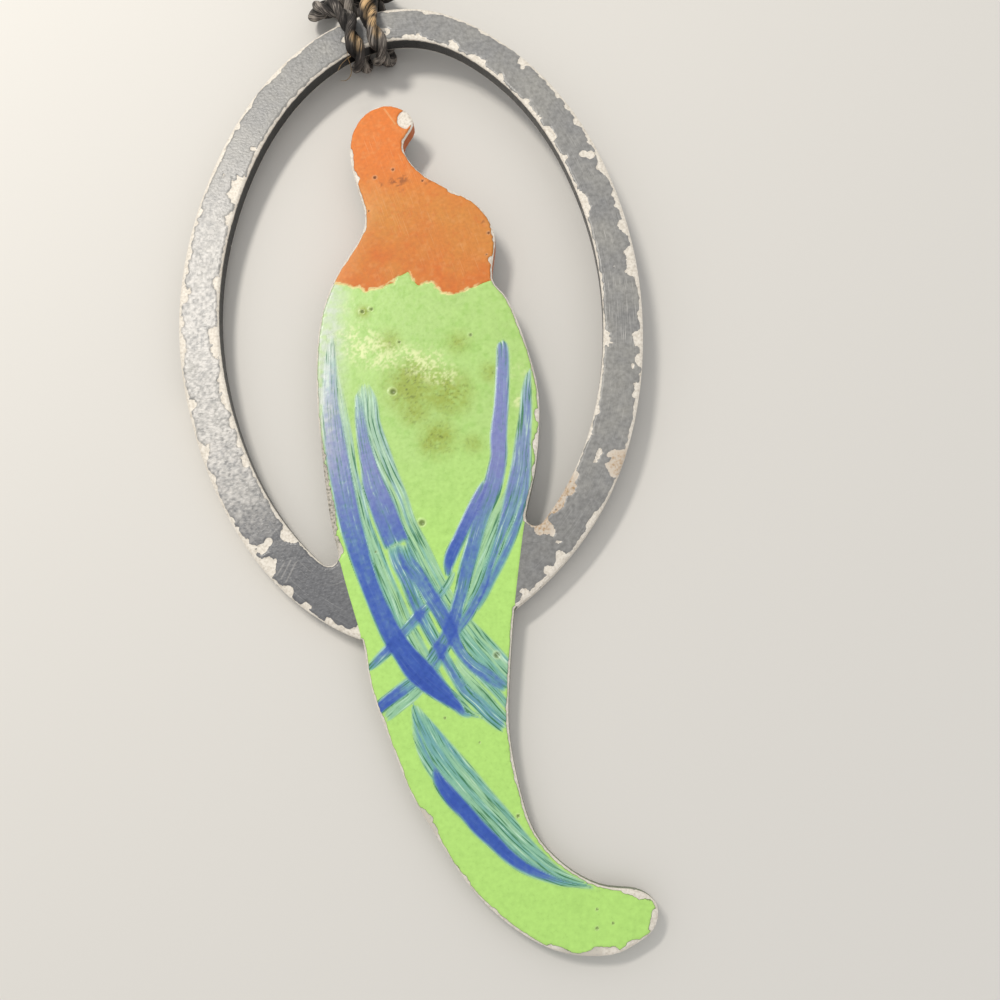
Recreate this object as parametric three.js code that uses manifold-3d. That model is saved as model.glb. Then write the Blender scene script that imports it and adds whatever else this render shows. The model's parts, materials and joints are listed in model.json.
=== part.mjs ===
// A painted bird sawn with its oval ring from one sheet of metal, hung on a loop of waxed cord.
// Millimetres, +Z up. It lies face up on a table, with the cord's hitch under the ring's top,
// and the origin is on the table below the middle of the ornament.

import * as THREE from "three";
import { mergeVertices } from "three/addons/utils/BufferGeometryUtils.js";
import Module from "manifold-3d";

const wasm = await Module();
wasm.setup();

// The sheet, drawn flat: x to the right, y towards the ring's top, z out of the painted face
const sheetThickness = 1.25;

// The ring: an oval with a smaller oval sawn out of it, both leaning a little to the left
const ringWidth = 35.2;
const ringHeight = 51.6;
const ringCentre = [-6.85, 15.1];
const ringLeanDegrees = 1.8;
const ringSideBand = 2.9;
const ringTopBand = 2.85;
const ringHoleShift = [0.1, 0.15];
const ringHoleLeanDegrees = 2.6;
const webFilletRadius = 0.72; // at the foot of the gaps, where the bird joins the ring

// The saw's wandering: how far outwards each edge strays from its oval, at even steps
// anticlockwise from the right
const ringOuterStray = [0, -0.5, -0.65, 0.2, 0.2, 0.05, 0.25, -0.1, -0.05, 0.2, -0.1, 0.3];
const ringHoleStray = [-0.15, -0.55, -0.6, 0.1, 0.05, 0.05, 0.2, -0.15, -0.25, 0, -0.35, -0.05];

// The bird: pairs of points on its left and right edge, from the crown to the tip of the tail.
// The drawing is stretched to the bird's own length and breadth, and set at its middle.
const birdLength = 63.6;
const birdBreadth = 24.5;
const birdMiddle = [-1.65, 0.5];
const birdEdges = [
  [[-9.1, 32.3], [-9.1, 32.3]],
  [[-10.8, 31.5], [-7.5, 31.7]],
  [[-11.8, 29.6], [-6.9, 30.5]],
  [[-11.8, 27.4], [-7.7, 28.6]],
  [[-11.1, 24.8], [-6.5, 26.5]],
  [[-10.5, 22.6], [-4.3, 25.0]],
  [[-10.8, 20.9], [-1.7, 23.4]],
  [[-11.7, 19.3], [-0.4, 20.9]],
  [[-12.8, 17.2], [-0.6, 17.3]],
  [[-13.6, 14.6], [0.6, 15.5]],
  [[-13.9, 11.3], [1.9, 12.1]],
  [[-13.7, 7.2], [2.9, 7.8]],
  [[-13.2, 3.3], [2.7, 2.8]],
  [[-12.4, -1.6], [1.9, -1.1]],
  [[-11.1, -6.3], [1.4, -4.7]],
  [[-9.8, -10.4], [1.0, -8.3]],
  [[-9.0, -14.0], [0.7, -12.4]],
  [[-7.6, -17.5], [0.6, -16.3]],
  [[-6.1, -21.0], [1.2, -20.0]],
  [[-4.1, -24.1], [2.3, -23.4]],
  [[-1.7, -27.4], [4.3, -25.6]],
  [[1.3, -29.9], [6.7, -26.9]],
  [[4.3, -31.2], [9.2, -27.2]],
  [[7.4, -31.3], [10.3, -27.8]],
  [[9.4, -30.4], [10.6, -28.6]],
  [[10.3, -29.6], [10.3, -29.6]],
];

// The enamel: a black coat on the ring, orange and green on the bird, and brush strokes over them
const coatThickness = 0.12;
const strokeThickness = 0.05;
const coatMargin = 0.2; // bare rim left along every free edge
const colourSeam = 0.05; // bare line between two coats

// The wavy line across the breast where the orange ends and the green begins
const collarLine = [
  [-14.5, 17.1],
  [-12.8, 16.9],
  [-11.3, 16.7],
  [-10.3, 16.3],
  [-9.2, 16.6],
  [-8.2, 17.0],
  [-7.1, 17.8],
  [-6.2, 16.6],
  [-5.3, 17.0],
  [-4.4, 16.1],
  [-3.5, 15.9],
  [-2.3, 16.4],
  [-0.7, 16.9],
  [1.5, 17.2],
];

// Each brush stroke over the green follows points x, y, width, as drawn on the bird above
const leftOuterPath = [
  [-12.6, 13.8, 0.2], [-12.8, 11.5, 0.8], [-12.6, 7.9, 1.1], [-12.2, 4.5, 1.3],
  [-11.7, 1.0, 1.3], [-10.5, -3.1, 1.2], [-9.1, -6.3, 1.1], [-7.5, -9.6, 1.1],
  [-5.5, -12.7, 1.3], [-3.7, -14.6, 1.0], [-2.5, -15.5, 0.5], [-1.4, -16.0, 0.2],
];
const leftInnerPath = [
  [-10.0, 8.7, 1.1], [-9.9, 7.0, 1.7], [-9.4, 4.0, 2.2], [-8.4, 0.7, 2.6],
  [-7.4, -2.4, 2.7], [-6.2, -5.2, 2.7], [-4.6, -8.0, 2.6], [-2.5, -10.4, 2.2],
  [-0.4, -12.6, 1.8], [0.9, -13.9, 1.6],
];
const leftLowPath = [
  [-6.2, -9.5, 0.6], [-5.0, -10.8, 1.0], [-3.7, -12.4, 1.1], [-1.8, -14.3, 1.0],
  [0.3, -16.2, 0.8],
];
const rightInnerPath = [
  [0.2, 12.0, 0.5], [0.2, 9.6, 0.8], [0.1, 6.3, 0.9], [-0.3, 3.4, 0.9],
  [-0.9, 0.2, 0.8], [-2.3, -3.1, 0.8], [-3.5, -5.9, 0.6],
];
const rightOuterPath = [
  [2.1, 9.4, 0.3], [2.1, 7.9, 0.6], [2.0, 6.2, 0.9], [1.6, 3.6, 1.2],
  [1.1, 0.2, 1.5], [-0.1, -3.1, 2.0], [-1.4, -6.4, 2.0], [-2.0, -8.0, 1.4],
  [-2.3, -9.0, 0.5],
];
const sideTopPath = [[-7.0, -9.9, 0.3], [-8.1, -11.2, 0.4], [-9.1, -12.3, 0.3]];
const sideMiddlePath = [[-6.6, -12.8, 0.5], [-7.5, -13.9, 0.8], [-8.4, -15.0, 0.6]];
const sideLowPath = [[-5.9, -13.9, 0.3], [-7.1, -15.0, 0.4], [-8.1, -15.9, 0.3]];
const tailPath = [
  [-6.0, -15.4, 0.3], [-5.3, -16.6, 1.2], [-4.6, -17.9, 1.8], [-3.6, -19.5, 2.2],
  [-2.4, -21.0, 2.5], [-0.9, -22.5, 2.4], [0.8, -24.0, 2.1], [2.5, -25.3, 1.7],
  [3.8, -26.2, 1.3], [5.3, -26.8, 0.7], [6.7, -27.2, 0.2],
];

// Each stroke's name, its paint, its path and how many strokes it crosses over
const deepBlue = "#2b3fa0";
const blue = "#4668b8";
const teal = "#4f9d96";
const strokes = [
  { name: "stroke_left_outer", paint: deepBlue, path: leftOuterPath, crosses: 0 },
  { name: "stroke_left_inner", paint: blue, path: leftInnerPath, crosses: 1 },
  { name: "stroke_left_low", paint: teal, path: leftLowPath, crosses: 2 },
  { name: "stroke_right_inner", paint: deepBlue, path: rightInnerPath, crosses: 2 },
  { name: "stroke_right_outer", paint: blue, path: rightOuterPath, crosses: 2 },
  { name: "stroke_side_top", paint: teal, path: sideTopPath, crosses: 3 },
  { name: "stroke_side_middle", paint: deepBlue, path: sideMiddlePath, crosses: 3 },
  { name: "stroke_side_low", paint: teal, path: sideLowPath, crosses: 3 },
  { name: "stroke_tail", paint: blue, path: tailPath, crosses: 0 },
];

// The cord: one length of two-ply waxed cotton, hitched at its middle round the ring's top
const cordColour = "#3a322c";
const cordDiameter = 1.5;
const cordClearance = 0.3; // between the cord and what it goes round or meets
const hitchAngleDegrees = 100.6; // round the ring, from its right-hand side
const wrapSpread = 1.25; // each front wrap from the hitch's middle
const strandSpread = 1.05; // each strand from the hitch's middle
const strandRise = 0.9; // the strands above the plate's back where they cross the bight
const strandDip = 1.35; // where they go down to the ring's back, beyond its outer edge
const bightReach = 2.85; // the bight's middle beyond the ring's edge
const bendReach = 5.0; // the line where the strands bend, beyond the ring's edge
const hitchSteps = 96;
const cordSides = 8;

// A leg's way from a wrap's outer end down to the bight: along the ring from the hitch's middle,
// beyond the ring's edge, and above the plate's back
const legRoute = [
  [2.38, 0.74, 2.0],
  [3.14, 1.4, 0.62],
  [3.3, 2.0, -0.52],
  [2.3, 2.75, -1.05],
];

// The two strands' way from the bending line to the coil: x and y as on the sheet, z above the table
const lowerStrandRoute = [
  [-11.48, 45.63, 2.95],
  [-11.9, 46.95, 2.75],
  [-12.45, 48.45, 2.25],
  [-13.25, 50.1, 1.75],
  [-14.1, 51.6, 1.4],
  [-14.75, 53.0, 1.35],
  [-15.2, 54.4, 1.35],
];
const upperStrandRoute = [
  [-13.48, 45.01, 2.95],
  [-13.9, 46.35, 2.9],
  [-14.25, 47.9, 3.05],
  [-14.5, 49.7, 3.2],
  [-14.65, 51.45, 3.25],
  [-14.85, 53.0, 3.3],
  [-15.2, 54.4, 3.3],
];
const strandSteps = 9;

// The coil that puts the loop's length away: one layer of turns for each strand
const coilRadius = 10.2; // outermost turn, to the cord's middle
const coilTurns = 2.5;
const coilPitch = 1.95; // from each turn to the next
const coilLeadRadius = 2.9; // the last bend, from the innermost turn in to the knot
const coilLeadDegrees = 140;
const coilSides = 6;
const coilStepsPerTurn = 24;

// The knot that joins the cord's two ends, and the band round the coil
const knotRadius = 1.9;
const knotHeight = 4.0;
const knotChamfer = 0.35;
const knotSides = 12;
const tieThickness = 0.3;
const tieWidth = 2.0;
const tieRounding = 0.8;
const tieAngleDegrees = 60; // round the coil

// Flat outlines

const { CrossSection, Manifold, Mesh } = wasm;

const drawnEdges = birdEdges.flat();
const drawnSpan = (axis) => {
  const along = drawnEdges.map((p) => p[axis]);
  return [Math.min(...along), Math.max(...along)];
};
const [drawnLeft, drawnRight] = drawnSpan(0);
const [drawnFoot, drawnCrown] = drawnSpan(1);
const birdStretch = [birdBreadth / (drawnRight - drawnLeft), birdLength / (drawnCrown - drawnFoot)];
const birdPoint = ([x, y]) => [
  birdMiddle[0] + (x - (drawnLeft + drawnRight) / 2) * birdStretch[0],
  birdMiddle[1] + (y - (drawnFoot + drawnCrown) / 2) * birdStretch[1],
];

const closedCurve = (points) => new THREE.CatmullRomCurve3(points, true, "catmullrom", 0.5);

// A closed smooth line through the points, as plain x, y pairs
function smoothLoop(points, stepsPerPoint) {
  const curve = closedCurve(points.map(([x, y]) => new THREE.Vector3(x, y, 0)));
  const count = points.length * stepsPerPoint;
  return Array.from({ length: count }, (_, i) => {
    const p = curve.getPoint(i / count);
    return [p.x, p.y];
  });
}

// A function that gives the point of an oval at an angle, with its edge strayed along the normal
function strayingOval(centre, halfWidth, halfHeight, leanDegrees, strays) {
  const lean = THREE.MathUtils.degToRad(leanDegrees);
  const stray = closedCurve(strays.map((s) => new THREE.Vector3(s, 0, 0)));
  return (angle) => {
    const share = THREE.MathUtils.euclideanModulo(angle / (2 * Math.PI), 1);
    const normal = new THREE.Vector2(Math.cos(angle) / halfWidth, Math.sin(angle) / halfHeight);
    normal.setLength(stray.getPoint(share).x);
    const x = halfWidth * Math.cos(angle) + normal.x;
    const y = halfHeight * Math.sin(angle) + normal.y;
    return [
      centre[0] + x * Math.cos(lean) - y * Math.sin(lean),
      centre[1] + x * Math.sin(lean) + y * Math.cos(lean),
    ];
  };
}

const outerRingPoint = strayingOval(
  ringCentre,
  ringWidth / 2,
  ringHeight / 2,
  ringLeanDegrees,
  ringOuterStray,
);
const ringHolePoint = strayingOval(
  [ringCentre[0] + ringHoleShift[0], ringCentre[1] + ringHoleShift[1]],
  ringWidth / 2 - ringSideBand,
  ringHeight / 2 - ringTopBand,
  ringHoleLeanDegrees,
  ringHoleStray,
);
const ringSteps = 112;
const ovalLoop = (pointAt) =>
  Array.from({ length: ringSteps }, (_, i) => pointAt((2 * Math.PI * i) / ringSteps));

const leftEdge = birdEdges.map((pair) => pair[0]);
const rightEdge = birdEdges.slice(1, -1).map((pair) => pair[1]);
const birdLoop = smoothLoop([...leftEdge, ...rightEdge.reverse()].map(birdPoint), 4);

// Flat areas

const area = (loop) => new CrossSection([loop]);
const cornerSteps = 32;
const leastTurn = 0.003; // points nearer than this to a straight line are left out
const widened = (flat, distance) =>
  flat.offset(distance, "Round", 2, cornerSteps).simplify(leastTurn);

const birdArea = area(birdLoop);
const gaps = area(ovalLoop(ringHolePoint)).subtract(birdArea);
const roundedGaps = widened(widened(gaps, -webFilletRadius), webFilletRadius);
const plateArea = area(ovalLoop(outerRingPoint)).subtract(roundedGaps).add(birdArea);

// The coats end a margin short of every free edge, and a seam apart from each other
const coatArea = widened(plateArea, -coatMargin);
const farAbove = birdLength;
const aboveCollar = (seam) =>
  area([
    ...collarLine.map(birdPoint).map(([x, y]) => [x, y + seam]),
    [ringWidth, farAbove],
    [-ringWidth, farAbove],
  ]);
const orangeArea = coatArea.intersect(birdArea).intersect(aboveCollar(colourSeam));
const greenArea = coatArea.intersect(birdArea).subtract(aboveCollar(0));
const blackArea = coatArea.subtract(widened(birdArea, colourSeam));

// A stroke is a ribbon of varying width along a smooth path
function strokeLoop(path) {
  const curve = new THREE.CatmullRomCurve3(
    path.map(([x, y, width]) => new THREE.Vector3(...birdPoint([x, y]), width * birdStretch[0])),
  );
  const steps = path.length * 3;
  const left = [];
  const right = [];
  for (let i = 0; i <= steps; i++) {
    const p = curve.getPoint(i / steps);
    const t = curve.getTangent(i / steps);
    const half = p.z / 2 / Math.hypot(t.x, t.y);
    left.push([p.x - t.y * half, p.y + t.x * half]);
    right.unshift([p.x + t.y * half, p.y - t.x * half]);
  }
  return [...right, ...left].reverse();
}

// Solids

const slab = (flat, bottom, top) => flat.extrude(top - bottom).translate([0, 0, bottom]);

function solidFrom(geometry) {
  geometry.deleteAttribute("normal");
  geometry.deleteAttribute("uv");
  const merged = mergeVertices(geometry, 1e-4);
  return new Manifold(
    new Mesh({
      numProp: 3,
      vertProperties: merged.attributes.position.array,
      triVerts: new Uint32Array(merged.index.array),
    }),
  );
}

function piece(name, solid, colour, roughness, metalness) {
  const { vertProperties, triVerts } = solid.getMesh();
  const geometry = new THREE.BufferGeometry();
  geometry.setAttribute("position", new THREE.BufferAttribute(vertProperties, 3));
  geometry.setIndex(new THREE.BufferAttribute(triVerts, 1));
  const material = new THREE.MeshStandardMaterial({ color: colour, roughness, metalness });
  const mesh = new THREE.Mesh(geometry, material);
  mesh.name = name;
  return mesh;
}

const coatTop = sheetThickness + coatThickness;
const coat = (flat) => slab(flat, sheetThickness, coatTop);

// Later strokes lie over earlier ones, so each level is thicker by one stroke
const strokeSolids = [];
for (const stroke of strokes) {
  const top = coatTop + strokeThickness * (1 + stroke.crosses);
  let solid = slab(area(strokeLoop(stroke.path)).intersect(greenArea), coatTop, top);
  for (const lower of strokeSolids) {
    if (lower.crosses < stroke.crosses) solid = solid.subtract(lower.solid);
  }
  strokeSolids.push({ ...stroke, solid });
}

// The hitch's own frame: u along the ring, v outwards across its band, w out of the painted face
const hitchAngle = THREE.MathUtils.degToRad(hitchAngleDegrees);
const hitchOuter = outerRingPoint(hitchAngle);
const smallTurn = 0.001;
const [aheadX, aheadY] = outerRingPoint(hitchAngle - smallTurn);
const ringRun = new THREE.Vector3(aheadX - hitchOuter[0], aheadY - hitchOuter[1], 0).normalize();
const outwards = new THREE.Vector3(-ringRun.y, ringRun.x, 0);
const hitchPoint = ([u, v, w]) =>
  new THREE.Vector3(...hitchOuter, w).addScaledVector(ringRun, u).addScaledVector(outwards, v);

// The band's width there: from the outer edge straight in to the hole's edge
const searchAngle = THREE.MathUtils.degToRad(30);
function bandWidthAtHitch() {
  let [low, high] = [hitchAngle - searchAngle, hitchAngle + searchAngle];
  let across = new THREE.Vector3();
  while (high - low > smallTurn / 1000) {
    const middle = (low + high) / 2;
    across = new THREE.Vector3(...ringHolePoint(middle), 0).sub(hitchPoint([0, 0, 0]));
    if (across.dot(ringRun) > 0) low = middle;
    else high = middle;
  }
  return -across.dot(outwards);
}

// Half of the hitch, from a strand's end to the middle of the bight. v is counted from the
// ring's outer edge and w from the plate's back.
const offFace = cordDiameter / 2 + cordClearance;
const offCorner = offFace * Math.SQRT1_2;
const pastCorner = offFace / 5; // where the cord lies flat again
const innerEdge = -bandWidthAtHitch();
const halfHitch = [
  [strandSpread, bendReach - offFace, strandRise],
  [strandSpread, bendReach - offFace - cordDiameter, strandRise],
  [strandSpread, strandDip, strandRise - offFace / 2],
  [strandSpread, offCorner, -offCorner],
  [strandSpread, -pastCorner, -offFace],
  [strandSpread, innerEdge + pastCorner, -offFace],
  [strandSpread, innerEdge - offCorner, -offCorner],
  [strandSpread, innerEdge - offFace, sheetThickness / 2],
  [strandSpread, innerEdge - offCorner, sheetThickness + offCorner],
  [wrapSpread, innerEdge + pastCorner, sheetThickness + offFace],
  [wrapSpread, -2 * pastCorner, sheetThickness + offFace],
  ...legRoute,
];
const hitchPath = [
  ...halfHitch.map(([u, v, w]) => [-u, v, w]),
  [0, bightReach, -offFace],
  ...halfHitch.toReversed(),
].map(hitchPoint);

// The least gap between stretches of one cord that lie more than a few diameters apart along it
const gapSamples = 900;
const neighbourDiameters = 2.5;
function leastGap(curve, diameter) {
  const points = curve.getPoints(gapSamples);
  const lengths = [0];
  points.slice(1).forEach((p, i) => lengths.push(lengths[i] + p.distanceTo(points[i])));
  let least = Infinity;
  points.forEach((p, i) => {
    points.forEach((q, j) => {
      if (lengths[j] - lengths[i] < neighbourDiameters * diameter) return;
      least = Math.min(least, p.distanceTo(q));
    });
  });
  return least - diameter;
}

function tube(path, diameter, sides, steps) {
  const section = new THREE.Shape(
    Array.from({ length: sides }, (_, i) => {
      const a = (2 * Math.PI * i) / sides;
      return new THREE.Vector2((diameter / 2) * Math.cos(a), (diameter / 2) * Math.sin(a));
    }),
  );
  return solidFrom(new THREE.ExtrudeGeometry(section, { extrudePath: path, steps }));
}

const hitchCurve = new THREE.CatmullRomCurve3(hitchPath);
const hitchSolid = tube(hitchCurve, cordDiameter, cordSides, hitchSteps);
console.log("hitch, least gap to itself", leastGap(hitchCurve, cordDiameter).toFixed(2));

const ornament = new THREE.Group();
ornament.add(
  piece("pierced_plate", slab(plateArea, 0, sheetThickness), "#b9b3a6", 0.5, 0.8),
  piece("black_ring_coat", coat(blackArea), "#3d3f42", 0.35, 0),
  piece("orange_head_coat", coat(orangeArea), "#c4622d", 0.4, 0),
  piece("green_body_coat", coat(greenArea), "#8fbf5e", 0.4, 0),
);
for (const { name, solid, paint } of strokeSolids) {
  ornament.add(piece(name, solid, paint, 0.4, 0));
}
ornament.add(piece("cord_hitch", hitchSolid, cordColour, 0.8, 0));

// Its rest: the tail's rounded edge and the hitch are on the table, and the sheet rocks on that
// edge until its middle is over the line from there to the hitch
function middleOf(flat) {
  let [x, y, total] = [0, 0, 0];
  for (const loop of flat.toPolygons()) {
    loop.forEach(([x1, y1], i) => {
      const [x0, y0] = loop.at(i - 1);
      const share = x0 * y1 - x1 * y0;
      x += share * (x0 + x1);
      y += share * (y0 + y1);
      total += share;
    });
  }
  return [x / total / 3, y / total / 3];
}

const [middleX, middleY] = middleOf(plateArea);
const foot = hitchPoint([0, innerEdge, 0]);
const asideOfLine = ([x, y]) =>
  Math.abs((foot.x - x) * (middleY - y) - (foot.y - y) * (middleX - x));
const tailTouch = birdLoop
  .filter(([, y]) => y < ringCentre[1] - ringHeight / 2)
  .reduce((best, p) => (asideOfLine(p) < asideOfLine(best) ? p : best));
const touchAt = birdLoop.indexOf(tailTouch);
const [beforeTouch, afterTouch] = [birdLoop[touchAt - 1], birdLoop[touchAt + 1]];
const touchRun = new THREE.Vector3(
  afterTouch[0] - beforeTouch[0],
  afterTouch[1] - beforeTouch[1],
  0,
).normalize();

// The lean that sets a point of the hitch, one cord radius below its middle line, on the table
const leanFor = ({ x, y, z }) => {
  const away = (y - tailTouch[1]) * touchRun.x - (x - tailTouch[0]) * touchRun.y;
  return Math.asin(cordDiameter / 2 / Math.hypot(away, z)) - Math.atan2(z, away);
};
const lean = Math.max(...hitchCurve.getPoints(hitchSteps).map(leanFor));
ornament.applyMatrix4(
  new THREE.Matrix4()
    .makeTranslation(tailTouch[0], tailTouch[1], 0)
    .multiply(new THREE.Matrix4().makeRotationAxis(touchRun, lean))
    .multiply(new THREE.Matrix4().makeTranslation(-tailTouch[0], -tailTouch[1], 0)),
);
ornament.updateMatrixWorld(true);

// A free strand. Its first end is a ball on the line where it bends at the hitch.
function strandSolid(route) {
  const points = route.map((p) => new THREE.Vector3(...p));
  const ball = new THREE.SphereGeometry(cordDiameter / 2, cordSides, cordSides);
  ball.translate(...points[0]);
  return tube(new THREE.CatmullRomCurve3(points), cordDiameter, cordSides, strandSteps).add(
    solidFrom(ball),
  );
}

// One strand's layer of the coil, from the strand's end: straight, round clockwise and inwards,
// then across to the knot
const coilStart = (route) =>
  new THREE.Vector3(...route.at(-1)).addScaledVector(outwards, cordClearance);
const coilMiddle = coilStart(lowerStrandRoute)
  .addScaledVector(outwards, cordDiameter)
  .addScaledVector(ringRun, coilRadius);
const coilStartAngle = Math.atan2(-ringRun.y, -ringRun.x);
const around = (middle, radius, angle, z) =>
  new THREE.Vector3(middle.x + radius * Math.cos(angle), middle.y + radius * Math.sin(angle), z);

function coilCurve(route) {
  const start = coilStart(route);
  const points = [start, start.clone().addScaledVector(outwards, cordDiameter / 2)];
  const spiralSteps = coilTurns * coilStepsPerTurn;
  for (let i = 0; i <= spiralSteps; i++) {
    const turns = i / coilStepsPerTurn;
    const angle = coilStartAngle - 2 * Math.PI * turns;
    points.push(around(coilMiddle, coilRadius - coilPitch * turns, angle, start.z));
  }
  const lastAngle = coilStartAngle - 2 * Math.PI * coilTurns;
  const lastRadius = coilRadius - coilPitch * coilTurns;
  const leadMiddle = around(coilMiddle, lastRadius - coilLeadRadius, lastAngle, start.z);
  const leadSteps = 7;
  for (let i = 1; i <= leadSteps; i++) {
    const angle = lastAngle - THREE.MathUtils.degToRad((coilLeadDegrees * i) / leadSteps);
    points.push(around(leadMiddle, coilLeadRadius, angle, start.z));
  }
  const end = points.at(-1);
  const endAngle = lastAngle - THREE.MathUtils.degToRad(coilLeadDegrees);
  const heading = new THREE.Vector3(Math.sin(endAngle), -Math.cos(endAngle), 0);
  points.push(end.clone().addScaledVector(heading, cordDiameter / 2));
  points.push(end.clone().addScaledVector(heading, cordDiameter));
  return { curve: new THREE.CatmullRomCurve3(points), end: points.at(-1), heading, points };
}

const lowerCoil = coilCurve(lowerStrandRoute);
const upperCoil = coilCurve(upperStrandRoute);
const layerRise = upperCoil.end.z - lowerCoil.end.z;
const coilGap = leastGap(lowerCoil.curve, cordDiameter);
console.log("coil, least gap to itself", Math.min(coilGap, layerRise - cordDiameter).toFixed(2));

// The knot is a barrel with one flat side towards the cord's two ends
function knotSolid() {
  const half = knotHeight / 2;
  const profile = [
    [0, -half],
    [knotRadius - knotChamfer, -half],
    [knotRadius, knotChamfer - half],
    [knotRadius, half - knotChamfer],
    [knotRadius - knotChamfer, half],
    [0, half],
  ].map(([x, y]) => new THREE.Vector2(x, y));
  const barrel = new THREE.LatheGeometry(profile, knotSides);
  const { end, heading } = lowerCoil;
  const flatReach = knotRadius * Math.cos(Math.PI / knotSides) + cordClearance;
  barrel.rotateX(Math.PI / 2);
  barrel.rotateZ(Math.atan2(heading.y, heading.x) + Math.PI / knotSides + Math.PI / 2);
  barrel.translate(
    end.x + heading.x * flatReach,
    end.y + heading.y * flatReach,
    end.z + layerRise / 2,
  );
  return solidFrom(barrel);
}

// The band goes round both layers of turns at one place
function roundedRectangle(left, right, bottom, top, radius) {
  const shape = new THREE.Shape();
  shape.absarc(right - radius, top - radius, radius, 0, Math.PI / 2);
  shape.absarc(left + radius, top - radius, radius, Math.PI / 2, Math.PI);
  shape.absarc(left + radius, bottom + radius, radius, Math.PI, 1.5 * Math.PI);
  shape.absarc(right - radius, bottom + radius, radius, 1.5 * Math.PI, 2 * Math.PI);
  return shape;
}

function tieSolid() {
  const angle = THREE.MathUtils.degToRad(tieAngleDegrees);
  const turnsToTie = (coilStartAngle - angle) / (2 * Math.PI);
  const firstPass = turnsToTie - Math.floor(turnsToTie);
  const lastPass = firstPass + Math.floor(coilTurns - firstPass);
  const reach = cordDiameter / 2 + cordClearance;
  const inner = coilRadius - coilPitch * lastPass - reach;
  const outer = coilRadius - coilPitch * firstPass + reach;
  const bottom = lowerCoil.end.z - reach;
  const top = upperCoil.end.z + reach;
  const t = tieThickness;
  const band = roundedRectangle(inner - t, outer + t, bottom - t, top + t, tieRounding);
  band.holes.push(roundedRectangle(inner, outer, bottom, top, tieRounding - t));
  const geometry = new THREE.ExtrudeGeometry(band, { depth: tieWidth, bevelEnabled: false });
  geometry.translate(0, 0, -tieWidth / 2);
  geometry.rotateX(Math.PI / 2);
  geometry.rotateZ(angle);
  geometry.translate(coilMiddle.x, coilMiddle.y, 0);
  return solidFrom(geometry);
}

const coilSolid = ({ curve, points }) => tube(curve, cordDiameter, coilSides, points.length - 1);
const cord = new THREE.Group();
cord.add(
  piece("lower_strand", strandSolid(lowerStrandRoute), cordColour, 0.8, 0),
  piece("upper_strand", strandSolid(upperStrandRoute), cordColour, 0.8, 0),
  piece("lower_coil", coilSolid(lowerCoil), cordColour, 0.8, 0),
  piece("upper_coil", coilSolid(upperCoil), cordColour, 0.8, 0),
  piece("end_knot", knotSolid(), cordColour, 0.8, 0),
  piece("coil_tie", tieSolid(), "#4a4038", 0.8, 0),
);

// The origin goes to the table below the middle of the ornament
const box = new THREE.Box3().setFromObject(ornament, true);
const root = new THREE.Group();
root.add(ornament, cord);
root.position.set(-(box.min.x + box.max.x) / 2, -(box.min.y + box.max.y) / 2, -box.min.z);
root.updateMatrixWorld(true);

export default root;
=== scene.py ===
# A painted metal bird ornament: one pierced sheet with enamel on it, hung on a hitched waxed cord.
# The frame gives the solids; this script dresses them. Sizes are in millimetres on the drawing
# of the sheet (x to the right, y towards the ring's top, z out of its painted face), and every
# mesh is turned to metres in the part's own frame at the end.
import json
import math

import bmesh
import bpy
import numpy as np
from mathutils import Euler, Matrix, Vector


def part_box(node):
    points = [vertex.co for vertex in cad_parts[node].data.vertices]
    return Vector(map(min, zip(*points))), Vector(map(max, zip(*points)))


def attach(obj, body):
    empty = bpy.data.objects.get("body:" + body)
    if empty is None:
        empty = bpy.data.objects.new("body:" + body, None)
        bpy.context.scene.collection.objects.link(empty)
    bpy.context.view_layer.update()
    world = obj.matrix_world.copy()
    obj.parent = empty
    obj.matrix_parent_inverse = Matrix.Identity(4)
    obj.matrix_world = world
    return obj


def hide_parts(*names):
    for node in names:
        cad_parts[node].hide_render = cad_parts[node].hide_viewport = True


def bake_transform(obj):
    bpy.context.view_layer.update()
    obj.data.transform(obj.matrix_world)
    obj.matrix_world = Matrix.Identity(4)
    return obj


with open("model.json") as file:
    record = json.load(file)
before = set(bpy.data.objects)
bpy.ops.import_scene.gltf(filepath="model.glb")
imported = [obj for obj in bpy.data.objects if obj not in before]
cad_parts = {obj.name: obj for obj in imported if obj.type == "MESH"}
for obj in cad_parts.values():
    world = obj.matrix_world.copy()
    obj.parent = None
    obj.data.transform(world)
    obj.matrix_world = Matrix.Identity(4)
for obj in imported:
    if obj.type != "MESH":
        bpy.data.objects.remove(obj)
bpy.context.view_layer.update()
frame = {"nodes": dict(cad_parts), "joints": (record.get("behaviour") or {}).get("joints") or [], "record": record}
record = frame["record"]
print("frame loaded")

# The pierced sheet and its enamel
sheet = {
    "thickness": 1.25,
    "film": 0.12,  # of enamel
    "filmFoot": 0.012,  # between the metal and the film
    "filmEdge": 0.17,  # the film fades from whole to none over this at its worn edge
    "edgeRound": 0.22,  # the sheet's face falls off over this
    "edgeDrop": 0.09,  # and by this much
    "proud": 0.015,  # of the coats beyond the sheet's walls
    "wallFoot": 0.14,  # where the coats' walls end above the back
    "sharpDegrees": 38,
}

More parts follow.
